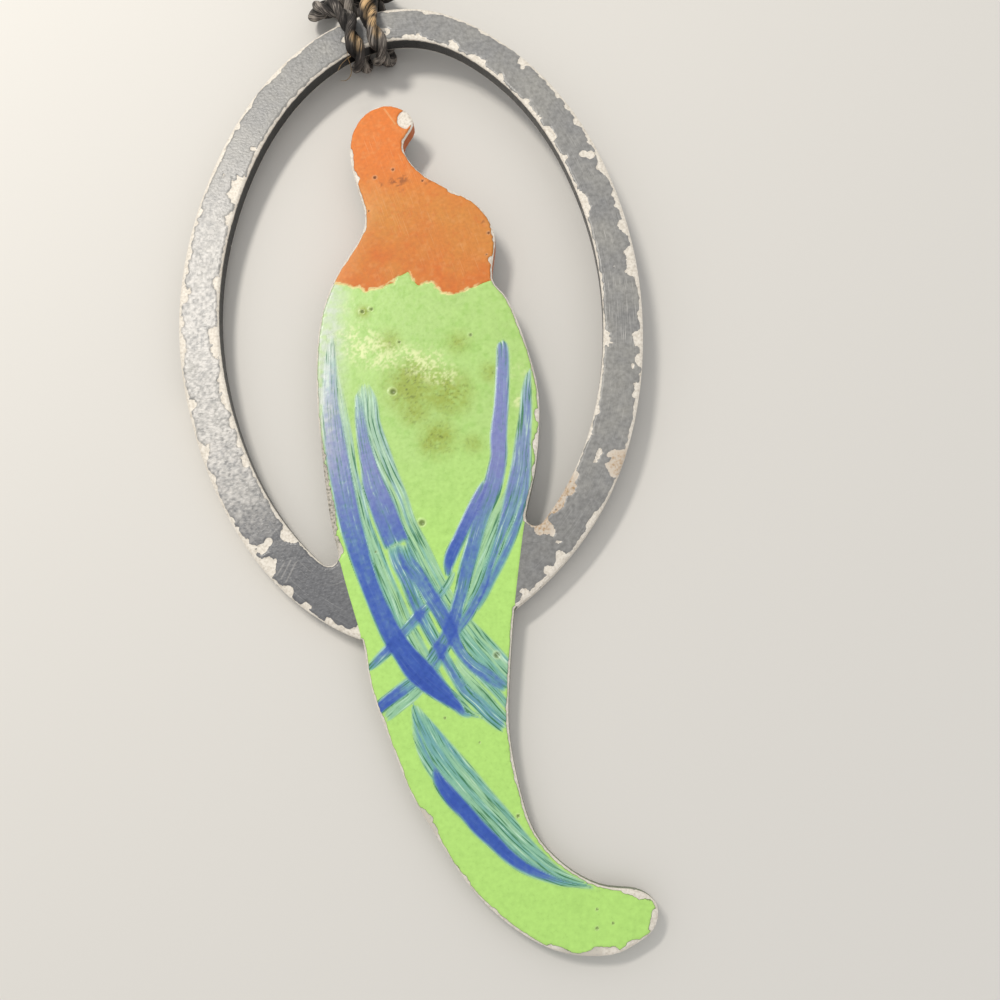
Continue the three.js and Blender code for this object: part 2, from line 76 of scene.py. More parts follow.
# Where the sheet lies
# The hinge that the hitch slides on stands square to the sheet, and the back's mount is the
# point backPoint of the drawing, so these two give the sheet's place on the table.
backPoint = np.array([-5.5, 5.0, 0.0])
tableShift = np.array([6.98166, -6.70757, 0.0])  # drawing to part, for what lies on the table
sheetNormal = np.array(frame["joints"][0]["axis"], float)
backMount = next(m for m in record["mounts"] if m["name"] == "back")
leanAxis = np.array([-sheetNormal[1], sheetNormal[0], 0.0])
leanSine = np.linalg.norm(leanAxis)
leanAxis = leanAxis / leanSine
crossOf = np.array([[0, 0, leanAxis[1]], [0, 0, -leanAxis[0]], [-leanAxis[1], leanAxis[0], 0]])
leanTurn = np.eye(3) + leanSine * crossOf + (1 - sheetNormal[2]) * crossOf @ crossOf


def sheetToPart(points):
    # turned by the lean about backPoint, then moved to the mount; millimetres to metres
    return (np.asarray(points) - backPoint) @ leanTurn.T / 1000 + np.array(backMount["pos_m"])


def partToSheet(points):
    return (np.asarray(points) - np.array(backMount["pos_m"])) * 1000 @ leanTurn + backPoint


def tableToPart(points):
    return (np.asarray(points) + tableShift) / 1000


def addObject(name, data):
    added = bpy.data.objects.new(name, data)
    bpy.context.scene.collection.objects.link(added)
    return added


# Camera
cameraView = {
    "place": (7.7651, -26.8789, 78.8521),  # mm, in the part's frame
    "turn": (14.5702, 0.6084, 0.0092),  # degrees
    "lens": 38.99,
    "sensor": 36.0,
    "clip": 0.002,  # metres
}
camera = addObject("camera", bpy.data.cameras.new("camera"))
camera.location = [c / 1000 for c in cameraView["place"]]
camera.rotation_euler = Euler([math.radians(a) for a in cameraView["turn"]])
camera.data.lens = cameraView["lens"]
camera.data.sensor_width = cameraView["sensor"]
camera.data.clip_start = cameraView["clip"]
bpy.context.scene.camera = camera
print("camera set")


# Small tools
def linear(hexColour):
    # sRGB hex to linear red, green, blue
    parts = np.array([int(hexColour[i : i + 2], 16) for i in (1, 3, 5)]) / 255
    return np.where(parts <= 0.04045, parts / 12.92, ((parts + 0.055) / 1.055) ** 2.4)


def rgba(hexColour):
    return (*linear(hexColour), 1.0)


def smoothStep(value, low, high):
    # 0 at low, 1 at high and level at both ends
    t = np.clip((value - low) / (high - low), 0, 1)
    return t * t * (3 - 2 * t)


def spot(x, y, place, fade=1.0, squeeze=1.0):
    # 1 in the middle of a round spot (x, y, radius) and 0 from its radius on; fade is the share
    # of the radius that it takes to fill, squeeze above 1 makes it narrower than high
    cx, cy, radius = place
    return smoothStep(radius - np.hypot((x - cx) * squeeze, y - cy), 0, radius * fade)


def cellNoise(x, y, seed):
    # smooth value noise from -1 to 1: random heights on a lattice of unit cells, blended between
    cells = 64  # after which it repeats
    table = np.random.default_rng(seed).uniform(-1, 1, (cells, cells))
    xi, yi = np.floor(x).astype(int), np.floor(y).astype(int)
    fx, fy = smoothStep(x - xi, 0, 1), smoothStep(y - yi, 0, 1)
    x0, x1, y0, y1 = xi % cells, (xi + 1) % cells, yi % cells, (yi + 1) % cells
    low = table[x0, y0] * (1 - fx) + table[x1, y0] * fx
    high = table[x0, y1] * (1 - fx) + table[x1, y1] * fx
    return low * (1 - fy) + high * fy


def cloudNoise(x, y, size, seed, octaves=3):
    # octaves of cell noise, each half as large and half as strong as the one before
    total = np.zeros(np.shape(x))
    for k in range(octaves):
        total += cellNoise(x * 2**k / size, y * 2**k / size, seed + k) / 2**k
    return total / (2 - 2 ** (1 - octaves))


def smoothThrough(points, perSpan):
    # centripetal Catmull-Rom line through the points, perSpan samples from each to the next
    p = np.asarray(points, float)
    p = np.vstack([2 * p[0] - p[1], p, 2 * p[-1] - p[-2]])
    step = np.sqrt(np.linalg.norm(np.diff(p, axis=0), axis=1))[:, None]
    a, b, c, d = p[:-3], p[1:-2], p[2:-1], p[3:]
    s0, s1, s2 = step[:-2], step[1:-1], step[2:]
    leave = ((b - a) / s0 - (c - a) / (s0 + s1) + (c - b) / s1) * s1
    reach = ((c - b) / s1 - (d - b) / (s1 + s2) + (d - c) / s2) * s1
    t = (np.arange(perSpan) / perSpan)[None, :, None]
    b, c, leave, reach = (v[:, None, :] for v in (b, c, leave, reach))
    line = b * (2 * t**3 - 3 * t**2 + 1) + leave * (t**3 - 2 * t**2 + t)
    line = line + c * (3 * t**2 - 2 * t**3) + reach * (t**3 - t**2)
    return np.vstack([line.reshape(-1, p.shape[1]), p[-2]])


def evenly(line, spacing):
    # the same line with its points spacing apart, and how far along it each one lies
    along = np.concatenate([[0], np.cumsum(np.linalg.norm(np.diff(line, axis=0), axis=1))])
    want = np.linspace(0, along[-1], max(2, round(along[-1] / spacing) + 1))
    return np.stack([np.interp(want, along, c) for c in line.T], 1), want


def pointsOf(mesh):
    co = np.zeros(len(mesh.vertices) * 3, np.float32)
    mesh.vertices.foreach_get("co", co)
    return co.reshape(-1, 3).astype(float)


def closedQuads(rows, columns):
    # the faces of a grid of points that closes on itself both ways
    i, k = np.meshgrid(np.arange(rows), np.arange(columns), indexing="ij")
    nextI, nextK = (i + 1) % rows, (k + 1) % columns
    corners = [i * columns + k, i * columns + nextK, nextI * columns + nextK, nextI * columns + k]
    return np.stack(corners, -1).reshape(-1, 4)


def meshPiece(name, verts, faces, smoothDegrees=None):
    mesh = bpy.data.meshes.new(name)
    mesh.from_pydata(np.asarray(verts, float), [], faces)
    mesh.validate()
    if smoothDegrees is not None:
        mesh.shade_smooth()
        mesh.set_sharp_from_angle(angle=math.radians(smoothDegrees))
    return addObject(name, mesh)


def giveNumber(piece, name, values):
    piece.data.attributes.new(name, "FLOAT", "POINT").data.foreach_set(
        "value", np.asarray(values, np.float32)
    )


def giveVector(piece, name, values):
    piece.data.attributes.new(name, "FLOAT_VECTOR", "POINT").data.foreach_set(
        "vector", np.asarray(values, np.float32).ravel()
    )


def giveColour(piece, name, values):
    full = np.column_stack([np.clip(values, 0, 1), np.ones(len(values))])
    piece.data.attributes.new(name, "FLOAT_COLOR", "POINT").data.foreach_set(
        "color", full.astype(np.float32).ravel()
    )


def addNode(tree, kind, links=None, **settings):
    # a node of that kind; a setting whose name is a socket's sets the socket, others the node
    node = tree.nodes.new("ShaderNode" + kind)
    for key, value in settings.items():
        if hasattr(node, key):
            setattr(node, key, value)
        else:
            socket = next(s for s in node.inputs if s.name.replace(" ", "") == key)
            socket.default_value = value
    for socket, source in (links or {}).items():
        tree.links.new(source, node.inputs[socket])
    return node


# The cord
# One length of two-ply waxed cotton. Its middle is hitched round the ring's top, its two strands
# bend down to the table, and what the picture doesn't show is coiled there in two layers.
waxedCord = {
    "diameter": 1.5,
    "layPitch": 5.0,  # one full turn of the two plies
    "plyShare": 0.545,  # a ply's own width against the cord's
    "yarnPitch": 0.62,  # of the fine yarns that run slantwise round each ply
    "yarnSlant": 5,
    "yarnDepth": 0.012,  # against the cord's diameter
    "lumpLength": 1.7,
    "lumpDepth": 0.035,  # against the radius
    "samples": 12,  # of the smooth line from each point of the route to the next
    "spacing": 0.15,  # of the stations along it
    "sides": 28,
    "sharpDegrees": 50,
    "tightGap": 0.06,  # between the cord and the metal where it goes over the face
    "backGap": 0.3,
    "hitchOuter": (-10.930, 40.607),  # on the ring's outer edge, under the hitch's middle
    "ringRun": (0.9557, 0.2943),
    "bandWidth": 2.815,
    "edgeGap": -0.12,  # where the pulled cord is pressed flat round the ring's inner edge
    "wrapSpread": 0.92,
    "wrapShift": -0.72,  # the wraps lie askew, to the left of the strands behind them
    "strandSpread": 1.05,
    "coilRadius": 10.2,
    "coilTurns": 2.5,
    "coilPitch": 1.95,
    "leadRadius": 2.9,
    "leadDegrees": 140,
    "coilSteps": 24,  # points in a turn
    "leadSteps": 7,
    "leadEnd": (0.75, 1.5),  # straight on from the last bend, as far as the knot's side
    "intoKnot": 0.9,
    "strandGap": 0.3,
}
# the wrap's way from the ring's front round under the strands, as u, v, w (see hitchPoints)
legRoute = [(1.9, 1.2, 1.9), (2.75, 2.15, 0.7), (3.15, 2.75, -0.45), (2.25, 3.35, -1.05)]
# the strands from the hitch down to the table, x, y, z in the drawing's own place on it
lowerStrandRoute = [
    (-11.48, 45.63, 2.95),
    (-11.9, 46.95, 2.75),
    (-12.45, 48.45, 2.25),
    (-13.25, 50.1, 1.75),
    (-14.1, 51.6, 1.4),
    (-14.75, 53.0, 1.35),
    (-15.2, 54.4, 1.35),
]
upperStrandRoute = [
    (-13.48, 45.01, 2.95),
    (-13.9, 46.35, 2.9),
    (-14.25, 47.9, 3.05),
    (-14.5, 49.7, 3.2),
    (-14.65, 51.45, 3.25),
    (-14.85, 53.0, 3.3),
    (-15.2, 54.4, 3.3),
]
ringRun = np.array([*waxedCord["ringRun"], 0])
ringOut = np.array([-ringRun[1], ringRun[0], 0])


def hitchPoints():
    # points u along the ring, v beyond its outer edge and w above the sheet's back
    c = waxedCord
    radius = c["diameter"] / 2
    tight, back = radius + c["tightGap"], radius + c["backGap"]
    edge = radius + c["edgeGap"]
    inner = -c["bandWidth"]
    slant = math.sqrt(0.5)
    strand, wrap = c["strandSpread"], c["wrapSpread"]
    front = sheet["thickness"]
    behind = [
        (strand, 3.95, 0.9),
        (strand, 2.45, 0.9),
        (strand, 1.35, 0.38),
        (strand, back * slant, -back * slant),
        (strand, -0.2, -back),
        (strand, inner + 0.3, -back),
    ]
    before = [
        (wrap, inner - edge * slant, -tight * slant),
        (wrap, inner - edge, front / 2),
        (wrap, inner - edge * slant, front + tight * slant),
        (wrap, inner + 0.3, front + tight + 0.05),
        (wrap, -0.4, front + tight + 0.12),
        *legRoute,
    ]
    shift = c["wrapShift"]
    points = [
        *behind,
        *[(u + shift, v, w) for u, v, w in before],
        (shift, 3.45, -back),
        *[(shift - u, v, w) for u, v, w in reversed(before)],
        *[(-u, v, w) for u, v, w in reversed(behind)],
    ]
    outer = np.array([*c["hitchOuter"], 0])
    return np.array([outer + u * ringRun + v * ringOut + np.array([0, 0, w]) for u, v, w in points])


def coilPoints(route):
    # a straight start, then a flat spiral clockwise and inwards, then one bend in to the knot
    c = waxedCord
    start = np.array(route[-1]) + ringOut * c["strandGap"]
    middle = np.array(lowerStrandRoute[-1]) + ringOut * (c["strandGap"] + c["diameter"])
    middle = middle + ringRun * c["coilRadius"]
    first = math.atan2(-ringRun[1], -ringRun[0])
    turns = np.arange(0, c["coilTurns"] + 0.001, 1 / c["coilSteps"])
    angle = first - 2 * math.pi * turns
    radius = c["coilRadius"] - c["coilPitch"] * turns
    height = np.full(len(turns), start[2])
    spiral = np.stack(
        [middle[0] + radius * np.cos(angle), middle[1] + radius * np.sin(angle), height], 1
    )
    lead = radius[-1] - c["leadRadius"]
    bendX = middle[0] + lead * math.cos(angle[-1])
    bendY = middle[1] + lead * math.sin(angle[-1])
    steps = np.arange(1, c["leadSteps"] + 1)
    turn = angle[-1] - math.radians(c["leadDegrees"]) * steps / c["leadSteps"]
    bend = np.stack(
        [
            bendX + c["leadRadius"] * np.cos(turn),
            bendY + c["leadRadius"] * np.sin(turn),
            height[: c["leadSteps"]],
        ],
        1,
    )
    heading = np.array([math.sin(turn[-1]), -math.cos(turn[-1]), 0])
    halfway, atKnot = c["leadEnd"]
    ends = [bend[-1] + heading * reach for reach in (halfway, atKnot + c["intoKnot"])]
    return np.vstack([start[None, :], spiral, bend, ends])


def wholeCord():
    # the cord's line from one end to the other in the part's frame, in millimetres
    lower = tableToPart(np.vstack([lowerStrandRoute, coilPoints(lowerStrandRoute)])) * 1000
    upper = tableToPart(np.vstack([upperStrandRoute, coilPoints(upperStrandRoute)])) * 1000
    hitch = sheetToPart(hitchPoints()) * 1000
    line = smoothThrough(np.vstack([lower[::-1], hitch, upper]), waxedCord["samples"])
    line, along = evenly(line, waxedCord["spacing"])
    bends = [np.linalg.norm(line - end, axis=1).argmin() for end in (lower[0], upper[0])]
    return line, along, bends


def pathFrames(line):
    # two directions square to the line at each station, carried along it without twisting
    tangent = np.gradient(line, axis=0)
    tangent /= np.linalg.norm(tangent, axis=1)[:, None]
    side = np.zeros_like(tangent)
    side[0] = np.cross(tangent[0], [0, 0, 1])
    for i in range(1, len(line)):
        side[i] = side[i - 1] - tangent[i] * (side[i - 1] @ tangent[i])
        side[i] /= np.linalg.norm(side[i])
    return side, np.cross(tangent, side)


def plyRadius(angle, diameter, share):
    # two round plies side by side: the farther of their outlines in each direction
    ply = diameter * share / 2
    apart = diameter / 2 - ply
    return apart * np.abs(np.cos(angle)) + np.sqrt(ply**2 - (apart * np.sin(angle)) ** 2)


def giveLay(piece, along, around, ply):
    # where each point lies along and round the cord, and how far out on its ply, -1 to 1
    lay = np.stack(np.broadcast_arrays(along, around, ply), -1)
    giveVector(piece, "lay", lay.reshape(-1, 3))


def laidTube(name, line, along, side, lift, spec):
    # A two-ply section carried along the line, turning once in each lay, with a cap at each
    # end. The radius is the plies' outline, lumpy by noise and ribbed by a sine for the yarns.
    count, sides = len(line), spec["sides"]
    round0 = np.linspace(0, 2 * math.pi, sides, endpoint=False)[None, :]
    phase = 2 * math.pi * along[:, None] / spec["layPitch"]
    radius = plyRadius(round0 - phase, spec["diameter"], spec["plyShare"])
    slant = spec["yarnSlant"] * (round0 - phase)
    yarn = np.sin(2 * math.pi * along[:, None] / spec["yarnPitch"] + slant)
    lumpAlong = along[:, None] / spec["lumpLength"] + 0 * round0
    lump = cellNoise(lumpAlong, np.cos(round0) * 1.5 + 0 * phase, 31)
    radius = radius * (1 + spec["lumpDepth"] * lump) + spec["yarnDepth"] * spec["diameter"] * yarn
    across = np.cos(round0)[..., None] * side[:, None] + np.sin(round0)[..., None] * lift[:, None]
    verts = (line[:, None] + radius[..., None] * across).reshape(-1, 3)
    i, k = np.meshgrid(np.arange(count - 1), np.arange(sides), indexing="ij")
    nextK = (k + 1) % sides
    quads = np.stack(
        [i * sides + k, i * sides + nextK, (i + 1) * sides + nextK, (i + 1) * sides + k], -1
    )
    caps = [list(range(sides))[::-1], list(range((count - 1) * sides, count * sides))]
    faces = quads.reshape(-1, 4).tolist() + caps
    piece = meshPiece(name, verts / 1000, faces, spec["sharpDegrees"])
    giveLay(piece, along[:, None], round0 - phase, np.cos(round0 - phase))
    return piece


def giveWorn(piece, spots):
    # how far the wax is rubbed off: the strongest of the spots, on the cord's upper side alone
    x, y, z = partToSheet(pointsOf(piece.data)).T
    worn = np.zeros(len(x))
    for *place, strength in spots:
        worn = np.maximum(worn, strength * spot(x, y, place, 0.7))
    giveNumber(piece, "worn", worn * smoothStep(z, *wornHeights))


def cordMaterial(name, look):
    # Waxed cotton: streaky dark fibre with a slight waxy sheen, darker in the groove between the
    # plies, and rubbed to the bare tan cotton where the worn attribute says.
    material = bpy.data.materials.new(name)
    material.use_nodes = True
    tree = material.node_tree
    shader = tree.nodes["Principled BSDF"]
    lay = addNode(tree, "Attribute", attribute_name="lay")
    place = addNode(tree, "TexCoord")
    stretch = addNode(tree, "Mapping", {"Vector": lay.outputs["Vector"]}, Scale=look["fibreScale"])
    fibre = addNode(tree, "TexNoise", {"Vector": stretch.outputs[0]}, Scale=1.0, Detail=4.0)
    patches = addNode(
        tree, "TexNoise", {"Vector": place.outputs["Object"]}, Scale=look["patchScale"], Detail=3.0
    )
    both = addNode(
        tree, "Math", {0: fibre.outputs["Fac"], 1: patches.outputs["Fac"]}, operation="MULTIPLY"
    )
    tone = addNode(tree, "ValToRGB", {"Fac": both.outputs[0]})
    stops = tone.color_ramp.elements
    stops[0].position, stops[0].color = look["dark"][0], rgba(look["dark"][1])
    stops[1].position, stops[1].color = look["tan"][0], rgba(look["tan"][1])
    stops.new(look["brown"][0]).color = rgba(look["brown"][1])
    # painted shade in the groove between the plies, where the lay's third number is near 0
    parts = addNode(tree, "SeparateXYZ", {"Vector": lay.outputs["Vector"]})
    high = addNode(tree, "Math", {0: parts.outputs[2]}, operation="ABSOLUTE")
    grooveShade = addNode(tree, "MapRange", {"Value": high.outputs[0]}, FromMin=0.08, FromMax=0.75, ToMin=0.12)
    worn = addNode(tree, "Attribute", attribute_name="worn")
    patch = addNode(tree, "MapRange", {"Value": fibre.outputs["Fac"]}, FromMin=0.36, FromMax=0.54)
    rubbed = addNode(tree, "Math", {0: worn.outputs["Fac"], 1: patch.outputs[0]}, operation="MULTIPLY")
    warm = addNode(tree, "Mix", {0: rubbed.outputs[0], 6: tone.outputs["Color"]}, data_type="RGBA")
    warm.inputs[7].default_value = rgba(look["warm"])
    toned = addNode(
        tree, "VectorMath", {0: warm.outputs[2], "Scale": grooveShade.outputs[0]}, operation="SCALE"
    )
    relief = dict(Strength=1.0, Distance=look["relief"])
    bump = addNode(tree, "Bump", {"Height": fibre.outputs["Fac"]}, **relief)
    tree.links.new(toned.outputs[0], shader.inputs["Base Color"])
    tree.links.new(bump.outputs["Normal"], shader.inputs["Normal"])
    shader.inputs["Roughness"].default_value = look["roughness"]
    shader.inputs["Specular IOR Level"].default_value = look["sheen"]
    return material


cordLook = {
    "dark": (0.14, "#161412"),  # each with the noise's value at which it shows whole
    "brown": (0.25, "#453f3b"),
    "tan": (0.36, "#a59c92"),
    "warm": "#e6bf8a",  # the cotton where the wax is gone
    "roughness": 0.62,
    "sheen": 0.35,
    "fibreScale": (1.5, 7.0, 3.0),  # along the cord, round it and out over the ply
    "patchScale": 420.0,  # per metre
    "relief": 0.00014,  # metres
}
wornHeights = (1.6, 2.3)  # above the sheet's back, over which the rubbing sets in
# where the wraps' wax is rubbed off, as x, y, radius, strength on the drawing
wornCord = [(-10.6, 40.6, 0.8, 1.0), (-10.4, 39.8, 0.7, 1.0), (-10.0, 38.8, 0.7, 0.9),
            (-9.8, 38.0, 0.5, 0.7), (-11.5, 37.6, 0.6, 0.8), (-11.3, 37.0, 0.5, 0.6)]
line, along, bends = wholeCord()
side, lift = pathFrames(line)
waxedCotton = cordMaterial("waxedCotton", cordLook)
cordParts = {
    "lowerCord": (slice(0, bends[0] + 1), "lower_strand", "lower_coil"),
    "hitchCord": (slice(bends[0], bends[1] + 1), "cord_hitch"),
    "upperCord": (slice(bends[1], len(line)), "upper_strand", "upper_coil"),
}
cordPieces = {}
for name, (span, *nodes) in cordParts.items():
    piece = laidTube(name, line[span], along[span], side[span], lift[span], waxedCord)
    piece.data.materials.append(waxedCotton)
    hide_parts(*nodes)
    cordPieces[name] = piece
giveWorn(cordPieces["hitchCord"], wornCord)
print("cord laid,", round(along[-1]), "mm")

# two hairs of the cotton that stand out under the left-hand wrap, as x, y, z on the drawing
hairRoutes = [
    [(-12.1, 37.4, 1.9), (-12.27, 36.6, 1.8), (-12.05, 35.9, 1.5), (-11.99, 35.4, 1.2),
     (-12.2, 35.0, 1.0), (-12.5, 34.85, 0.9), (-12.9, 34.9, 0.8)],
    [(-12.0, 36.6, 1.6), (-12.4, 36.25, 1.6), (-12.85, 36.0, 1.3), (-13.1, 35.7, 1.0)],
]
hairSpec = dict(waxedCord, diameter=0.07, sides=6, samples=10, spacing=0.1)
# painted light: the loose hairs take the worn cotton's tan, standing in for the light that catches them
hairLitTan = 0.9
for k, route in enumerate(hairRoutes):
    hair = smoothThrough(sheetToPart(np.array(route)) * 1000, hairSpec["samples"])
    hair, hairAlong = evenly(hair, hairSpec["spacing"])
    hairSide, hairLift = pathFrames(hair)
    piece = laidTube(f"looseHair{k + 1}", hair, hairAlong, hairSide, hairLift, hairSpec)
    piece.data.materials.append(waxedCotton)
    giveNumber(piece, "worn", np.full(len(piece.data.vertices), hairLitTan))
    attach(piece, "hitch")


# The knot and the band, away from the picture
knotShape = {
    "radius": 1.85,
    "height": 3.9,
    "tube": 0.62,  # half the cord's thickness where it is pulled tight
    "plyShare": 0.62,
    "plyTurns": 6,
    "stations": 220,
    "sides": 16,
}
bandShape = {
    "width": 1.9,
    "thickness": 0.26,
    "degrees": 60,  # round the coil
    "squareness": 0.35,  # of the loop's corners: 1 is an ellipse, 0 a rectangle
    "slack": 0.02,  # within the solid's box
    "crown": 0.05,  # the middle of its width stands this much higher than its edges
    "rows": 9,
    "stations": 96,
}


def tightKnot(name, shape):
    # a pulled overhand knot: the trefoil line x = sin t + 2 sin 2t, y = cos t - 2 cos 2t,
    # z = -sin 3t, squeezed into the barrel that the solid gives
    low, high = (np.array(v) * 1000 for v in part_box("end_knot"))
    t = np.linspace(0, 2 * math.pi, shape["stations"], endpoint=False)
    room = shape["radius"] - shape["tube"]
    flat = np.stack([np.sin(t) + 2 * np.sin(2 * t), np.cos(t) - 2 * np.cos(2 * t)], 1) * room / 3
    rise = -np.sin(3 * t) * (shape["height"] / 2 - shape["tube"])
    curve = np.column_stack([flat, rise]) + (low + high) / 2
    tangents = np.roll(curve, -1, 0) - np.roll(curve, 1, 0)
    tangents /= np.linalg.norm(tangents, axis=1)[:, None]
    outward = np.column_stack([flat, 0 * t])
    outward -= tangents * np.sum(outward * tangents, 1)[:, None]
    outward /= np.linalg.norm(outward, axis=1)[:, None]
    third = np.cross(tangents, outward)
    a = np.linspace(0, 2 * math.pi, shape["sides"], endpoint=False)[None, :]
    phase = shape["plyTurns"] * t[:, None]
    radius = plyRadius(a - phase, shape["tube"] * 2, shape["plyShare"])[..., None]
    ring = np.cos(a)[..., None] * outward[:, None] + np.sin(a)[..., None] * third[:, None]
    verts = (curve[:, None] + radius * ring).reshape(-1, 3)
    quads = closedQuads(shape["stations"], shape["sides"])
    piece = meshPiece(name, verts / 1000, quads.tolist(), waxedCord["sharpDegrees"])
    giveLay(piece, t[:, None] * 3, a - phase, np.cos(a - phase))
    return piece


def flatBand(name, shape):
    # A strip round both layers: a rounded oblong, x = cos t and y = sin t each raised to the
    # squareness with its sign kept, carried across the strip's width on its outer side and then
    # back on its inner side.
    low, high = (np.array(v) * 1000 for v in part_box("coil_tie"))
    middle = (low + high) / 2
    turn = math.radians(shape["degrees"])
    radial = np.array([math.cos(turn), math.sin(turn), 0])
    alongBand = np.array([-math.sin(turn), math.cos(turn), 0])
    size = high - low
    reach = (size[0] - shape["width"] * abs(math.sin(turn))) / abs(math.cos(turn)) / 2 - shape["slack"]
    rise = size[2] / 2 - shape["slack"]
    t = np.linspace(0, 2 * math.pi, shape["stations"], endpoint=False)
    circle = np.stack([np.cos(t), np.sin(t)], 1)
    loop = np.sign(circle) * np.abs(circle) ** shape["squareness"]
    acrossWidth = np.linspace(-1, 1, shape["rows"])
    edge = shape["width"] / 2
    rows = []
    for inset, order in ((0.0, acrossWidth), (shape["thickness"], acrossWidth[::-1])):
        for s in order:
            crown = shape["crown"] * (1 - s**2) if inset == 0 else 0
            flat = loop * (np.array([reach, rise]) - inset - shape["crown"] + crown)
            upright = np.array([0, 0, 1]) * flat[:, 1:]
            rows.append(middle + flat[:, :1] * radial + upright + alongBand * s * edge)
    verts = np.stack(rows, 1)
    quads = closedQuads(*verts.shape[:2])[:, [0, 3, 2, 1]]
    piece = meshPiece(name, verts.reshape(-1, 3) / 1000, quads.tolist(), waxedCord["sharpDegrees"])
    giveLay(piece, t[:, None] * 2, np.arange(verts.shape[1])[None, :] / 1.5, 0 * t[:, None])
    return piece


endKnot = tightKnot("endKnot", knotShape)
coilBand = flatBand("coilBand", bandShape)
for piece, node, slotName in ((endKnot, "end_knot", "waxed_cord"), (coilBand, "coil_tie", "tie_band")):
    piece.data.materials.append(waxedCotton)
    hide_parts(node)
    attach(piece, "cord")
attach(cordPieces["hitchCord"], "hitch")
for name, withPieces in (("lowerCord", [endKnot, coilBand]), ("upperCord", [endKnot])):
    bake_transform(cordPieces[name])
    span = cordParts[name][0]


# The enamelled sheet
def outlineOf(node):
    # the border of a solid's top face as loose stretches with the face on their left
    mesh = frame["nodes"][node].data
    mesh.calc_loop_triangles()
    tri = np.zeros(len(mesh.loop_triangles) * 3, np.int32)
    mesh.loop_triangles.foreach_get("vertices", tri)
    points = partToSheet(pointsOf(mesh))
    unique, where = np.unique(np.round(points, 3), axis=0, return_inverse=True)
    tri = where.reshape(-1)[tri].reshape(-1, 3)
    top = tri[(unique[tri][..., 2] > unique[:, 2].max() - 0.01).all(1)]
    edges = np.vstack([top[:, [0, 1]], top[:, [1, 2]], top[:, [2, 0]]])
    key = edges.min(1) * len(unique) + edges.max(1)
    _, first, count = np.unique(key, return_index=True, return_counts=True)
    border = edges[first[count == 1]]
    return unique[border[:, 0], :2], unique[border[:, 1], :2]


class FlatGrid:
    # an even grid over the drawing, on which distances to outlines are worked out
    def __init__(self, spacing, margin=0.8):
        a, b = plateOutline
        low, high = a.min(0) - margin, a.max(0) + margin
        self.spacing = spacing
        self.xs = np.arange(low[0], high[0], spacing)
        self.ys = np.arange(low[1], high[1], spacing)
        self.x, self.y = np.meshgrid(self.xs, self.ys)

    def distanceTo(self, outline, reach=1.5):
        # distance to the nearest stretch, up to reach, and negative inside by counting crossings
        near = np.full(self.x.shape, reach)
        turns = np.zeros(self.x.shape, np.int32)
        for a, b in zip(*outline):
            low, high = np.minimum(a, b) - reach, np.maximum(a, b) + reach
            i0, i1 = np.searchsorted(self.xs, [low[0], high[0]])
            j0, j1 = np.searchsorted(self.ys, [low[1], high[1]])
            x, y = self.x[j0:j1, i0:i1], self.y[j0:j1, i0:i1]
            run = b - a
            share = ((x - a[0]) * run[0] + (y - a[1]) * run[1]) / (run @ run)
            share = np.clip(share, 0, 1)
            away = np.hypot(x - a[0] - share * run[0], y - a[1] - share * run[1])
            near[j0:j1, i0:i1] = np.minimum(near[j0:j1, i0:i1], away)
            if a[1] != b[1]:
                rows = np.where((self.ys > min(a[1], b[1])) & (self.ys <= max(a[1], b[1])))[0]
                cut = a[0] + (self.ys[rows] - a[1]) * run[0] / run[1]
                np.add.at(turns, (rows, np.searchsorted(self.xs, cut)), 1)
        inside = np.cumsum(turns, axis=1) % 2 == 1
        return np.where(inside, -near, near)

    def sample(self, field, x, y):
        # the field's value between the grid's points
        fx = np.clip((x - self.xs[0]) / self.spacing, 0, len(self.xs) - 1.001)
        fy = np.clip((y - self.ys[0]) / self.spacing, 0, len(self.ys) - 1.001)
        i, j = fx.astype(int), fy.astype(int)
        fx, fy = fx - i, fy - j
        low = field[j, i] * (1 - fx) + field[j, i + 1] * fx
        high = field[j + 1, i] * (1 - fx) + field[j + 1, i + 1] * fx
        return low * (1 - fy) + high * fy

    def cellsInside(self, field):
        # marching squares: grid points where the field is negative, and crossings in between.
        # Gives the points, the cells as lists, and the border's stretches.
        inside = field < 0
        ids = np.where(inside, np.cumsum(inside).reshape(inside.shape) - 1, -1)
        points = [np.stack([self.x[inside], self.y[inside]], 1)]
        made = int(inside.sum())
        crossing = []
        for dj, di in ((0, 1), (1, 0)):
            shape = (len(self.ys) - dj, len(self.xs) - di)
            f0, f1 = field[: shape[0], : shape[1]], field[dj:, di:]
            cut = (f0 < 0) != (f1 < 0)
            t = np.clip(f0[cut] / (f0[cut] - f1[cut]), 0.1, 0.9) * self.spacing
            x, y = self.x[: shape[0], : shape[1]][cut], self.y[: shape[0], : shape[1]][cut]
            points.append(np.stack([x + t * di, y + t * dj], 1))
            table = np.full(shape, -1)
            table[cut] = made + np.arange(int(cut.sum()))
            made += int(cut.sum())
            crossing.append(table)
        flat, upright = crossing
        cells = np.stack(
            [
                ids[:-1, :-1],
                flat[:-1],
                ids[:-1, 1:],
                upright[:, 1:],
                ids[1:, 1:],
                flat[1:],
                ids[1:, :-1],
                upright[:, :-1],
            ],
            -1,
        ).reshape(-1, 8)
        corners = cells[:, ::2] >= 0
        whole = cells[corners.all(1)][:, ::2]
        partly = cells[corners.any(1) & ~corners.all(1)]
        polygons = [[k for k in row if k >= 0] for row in partly.tolist()]
        firstCut = int(inside.sum())
        border = [
            (k, m)
            for row in polygons
            for k, m in zip(row, row[1:] + row[:1])
            if k >= firstCut and m >= firstCut
        ]
        return np.vstack(points), whole.tolist() + polygons, np.array(border)


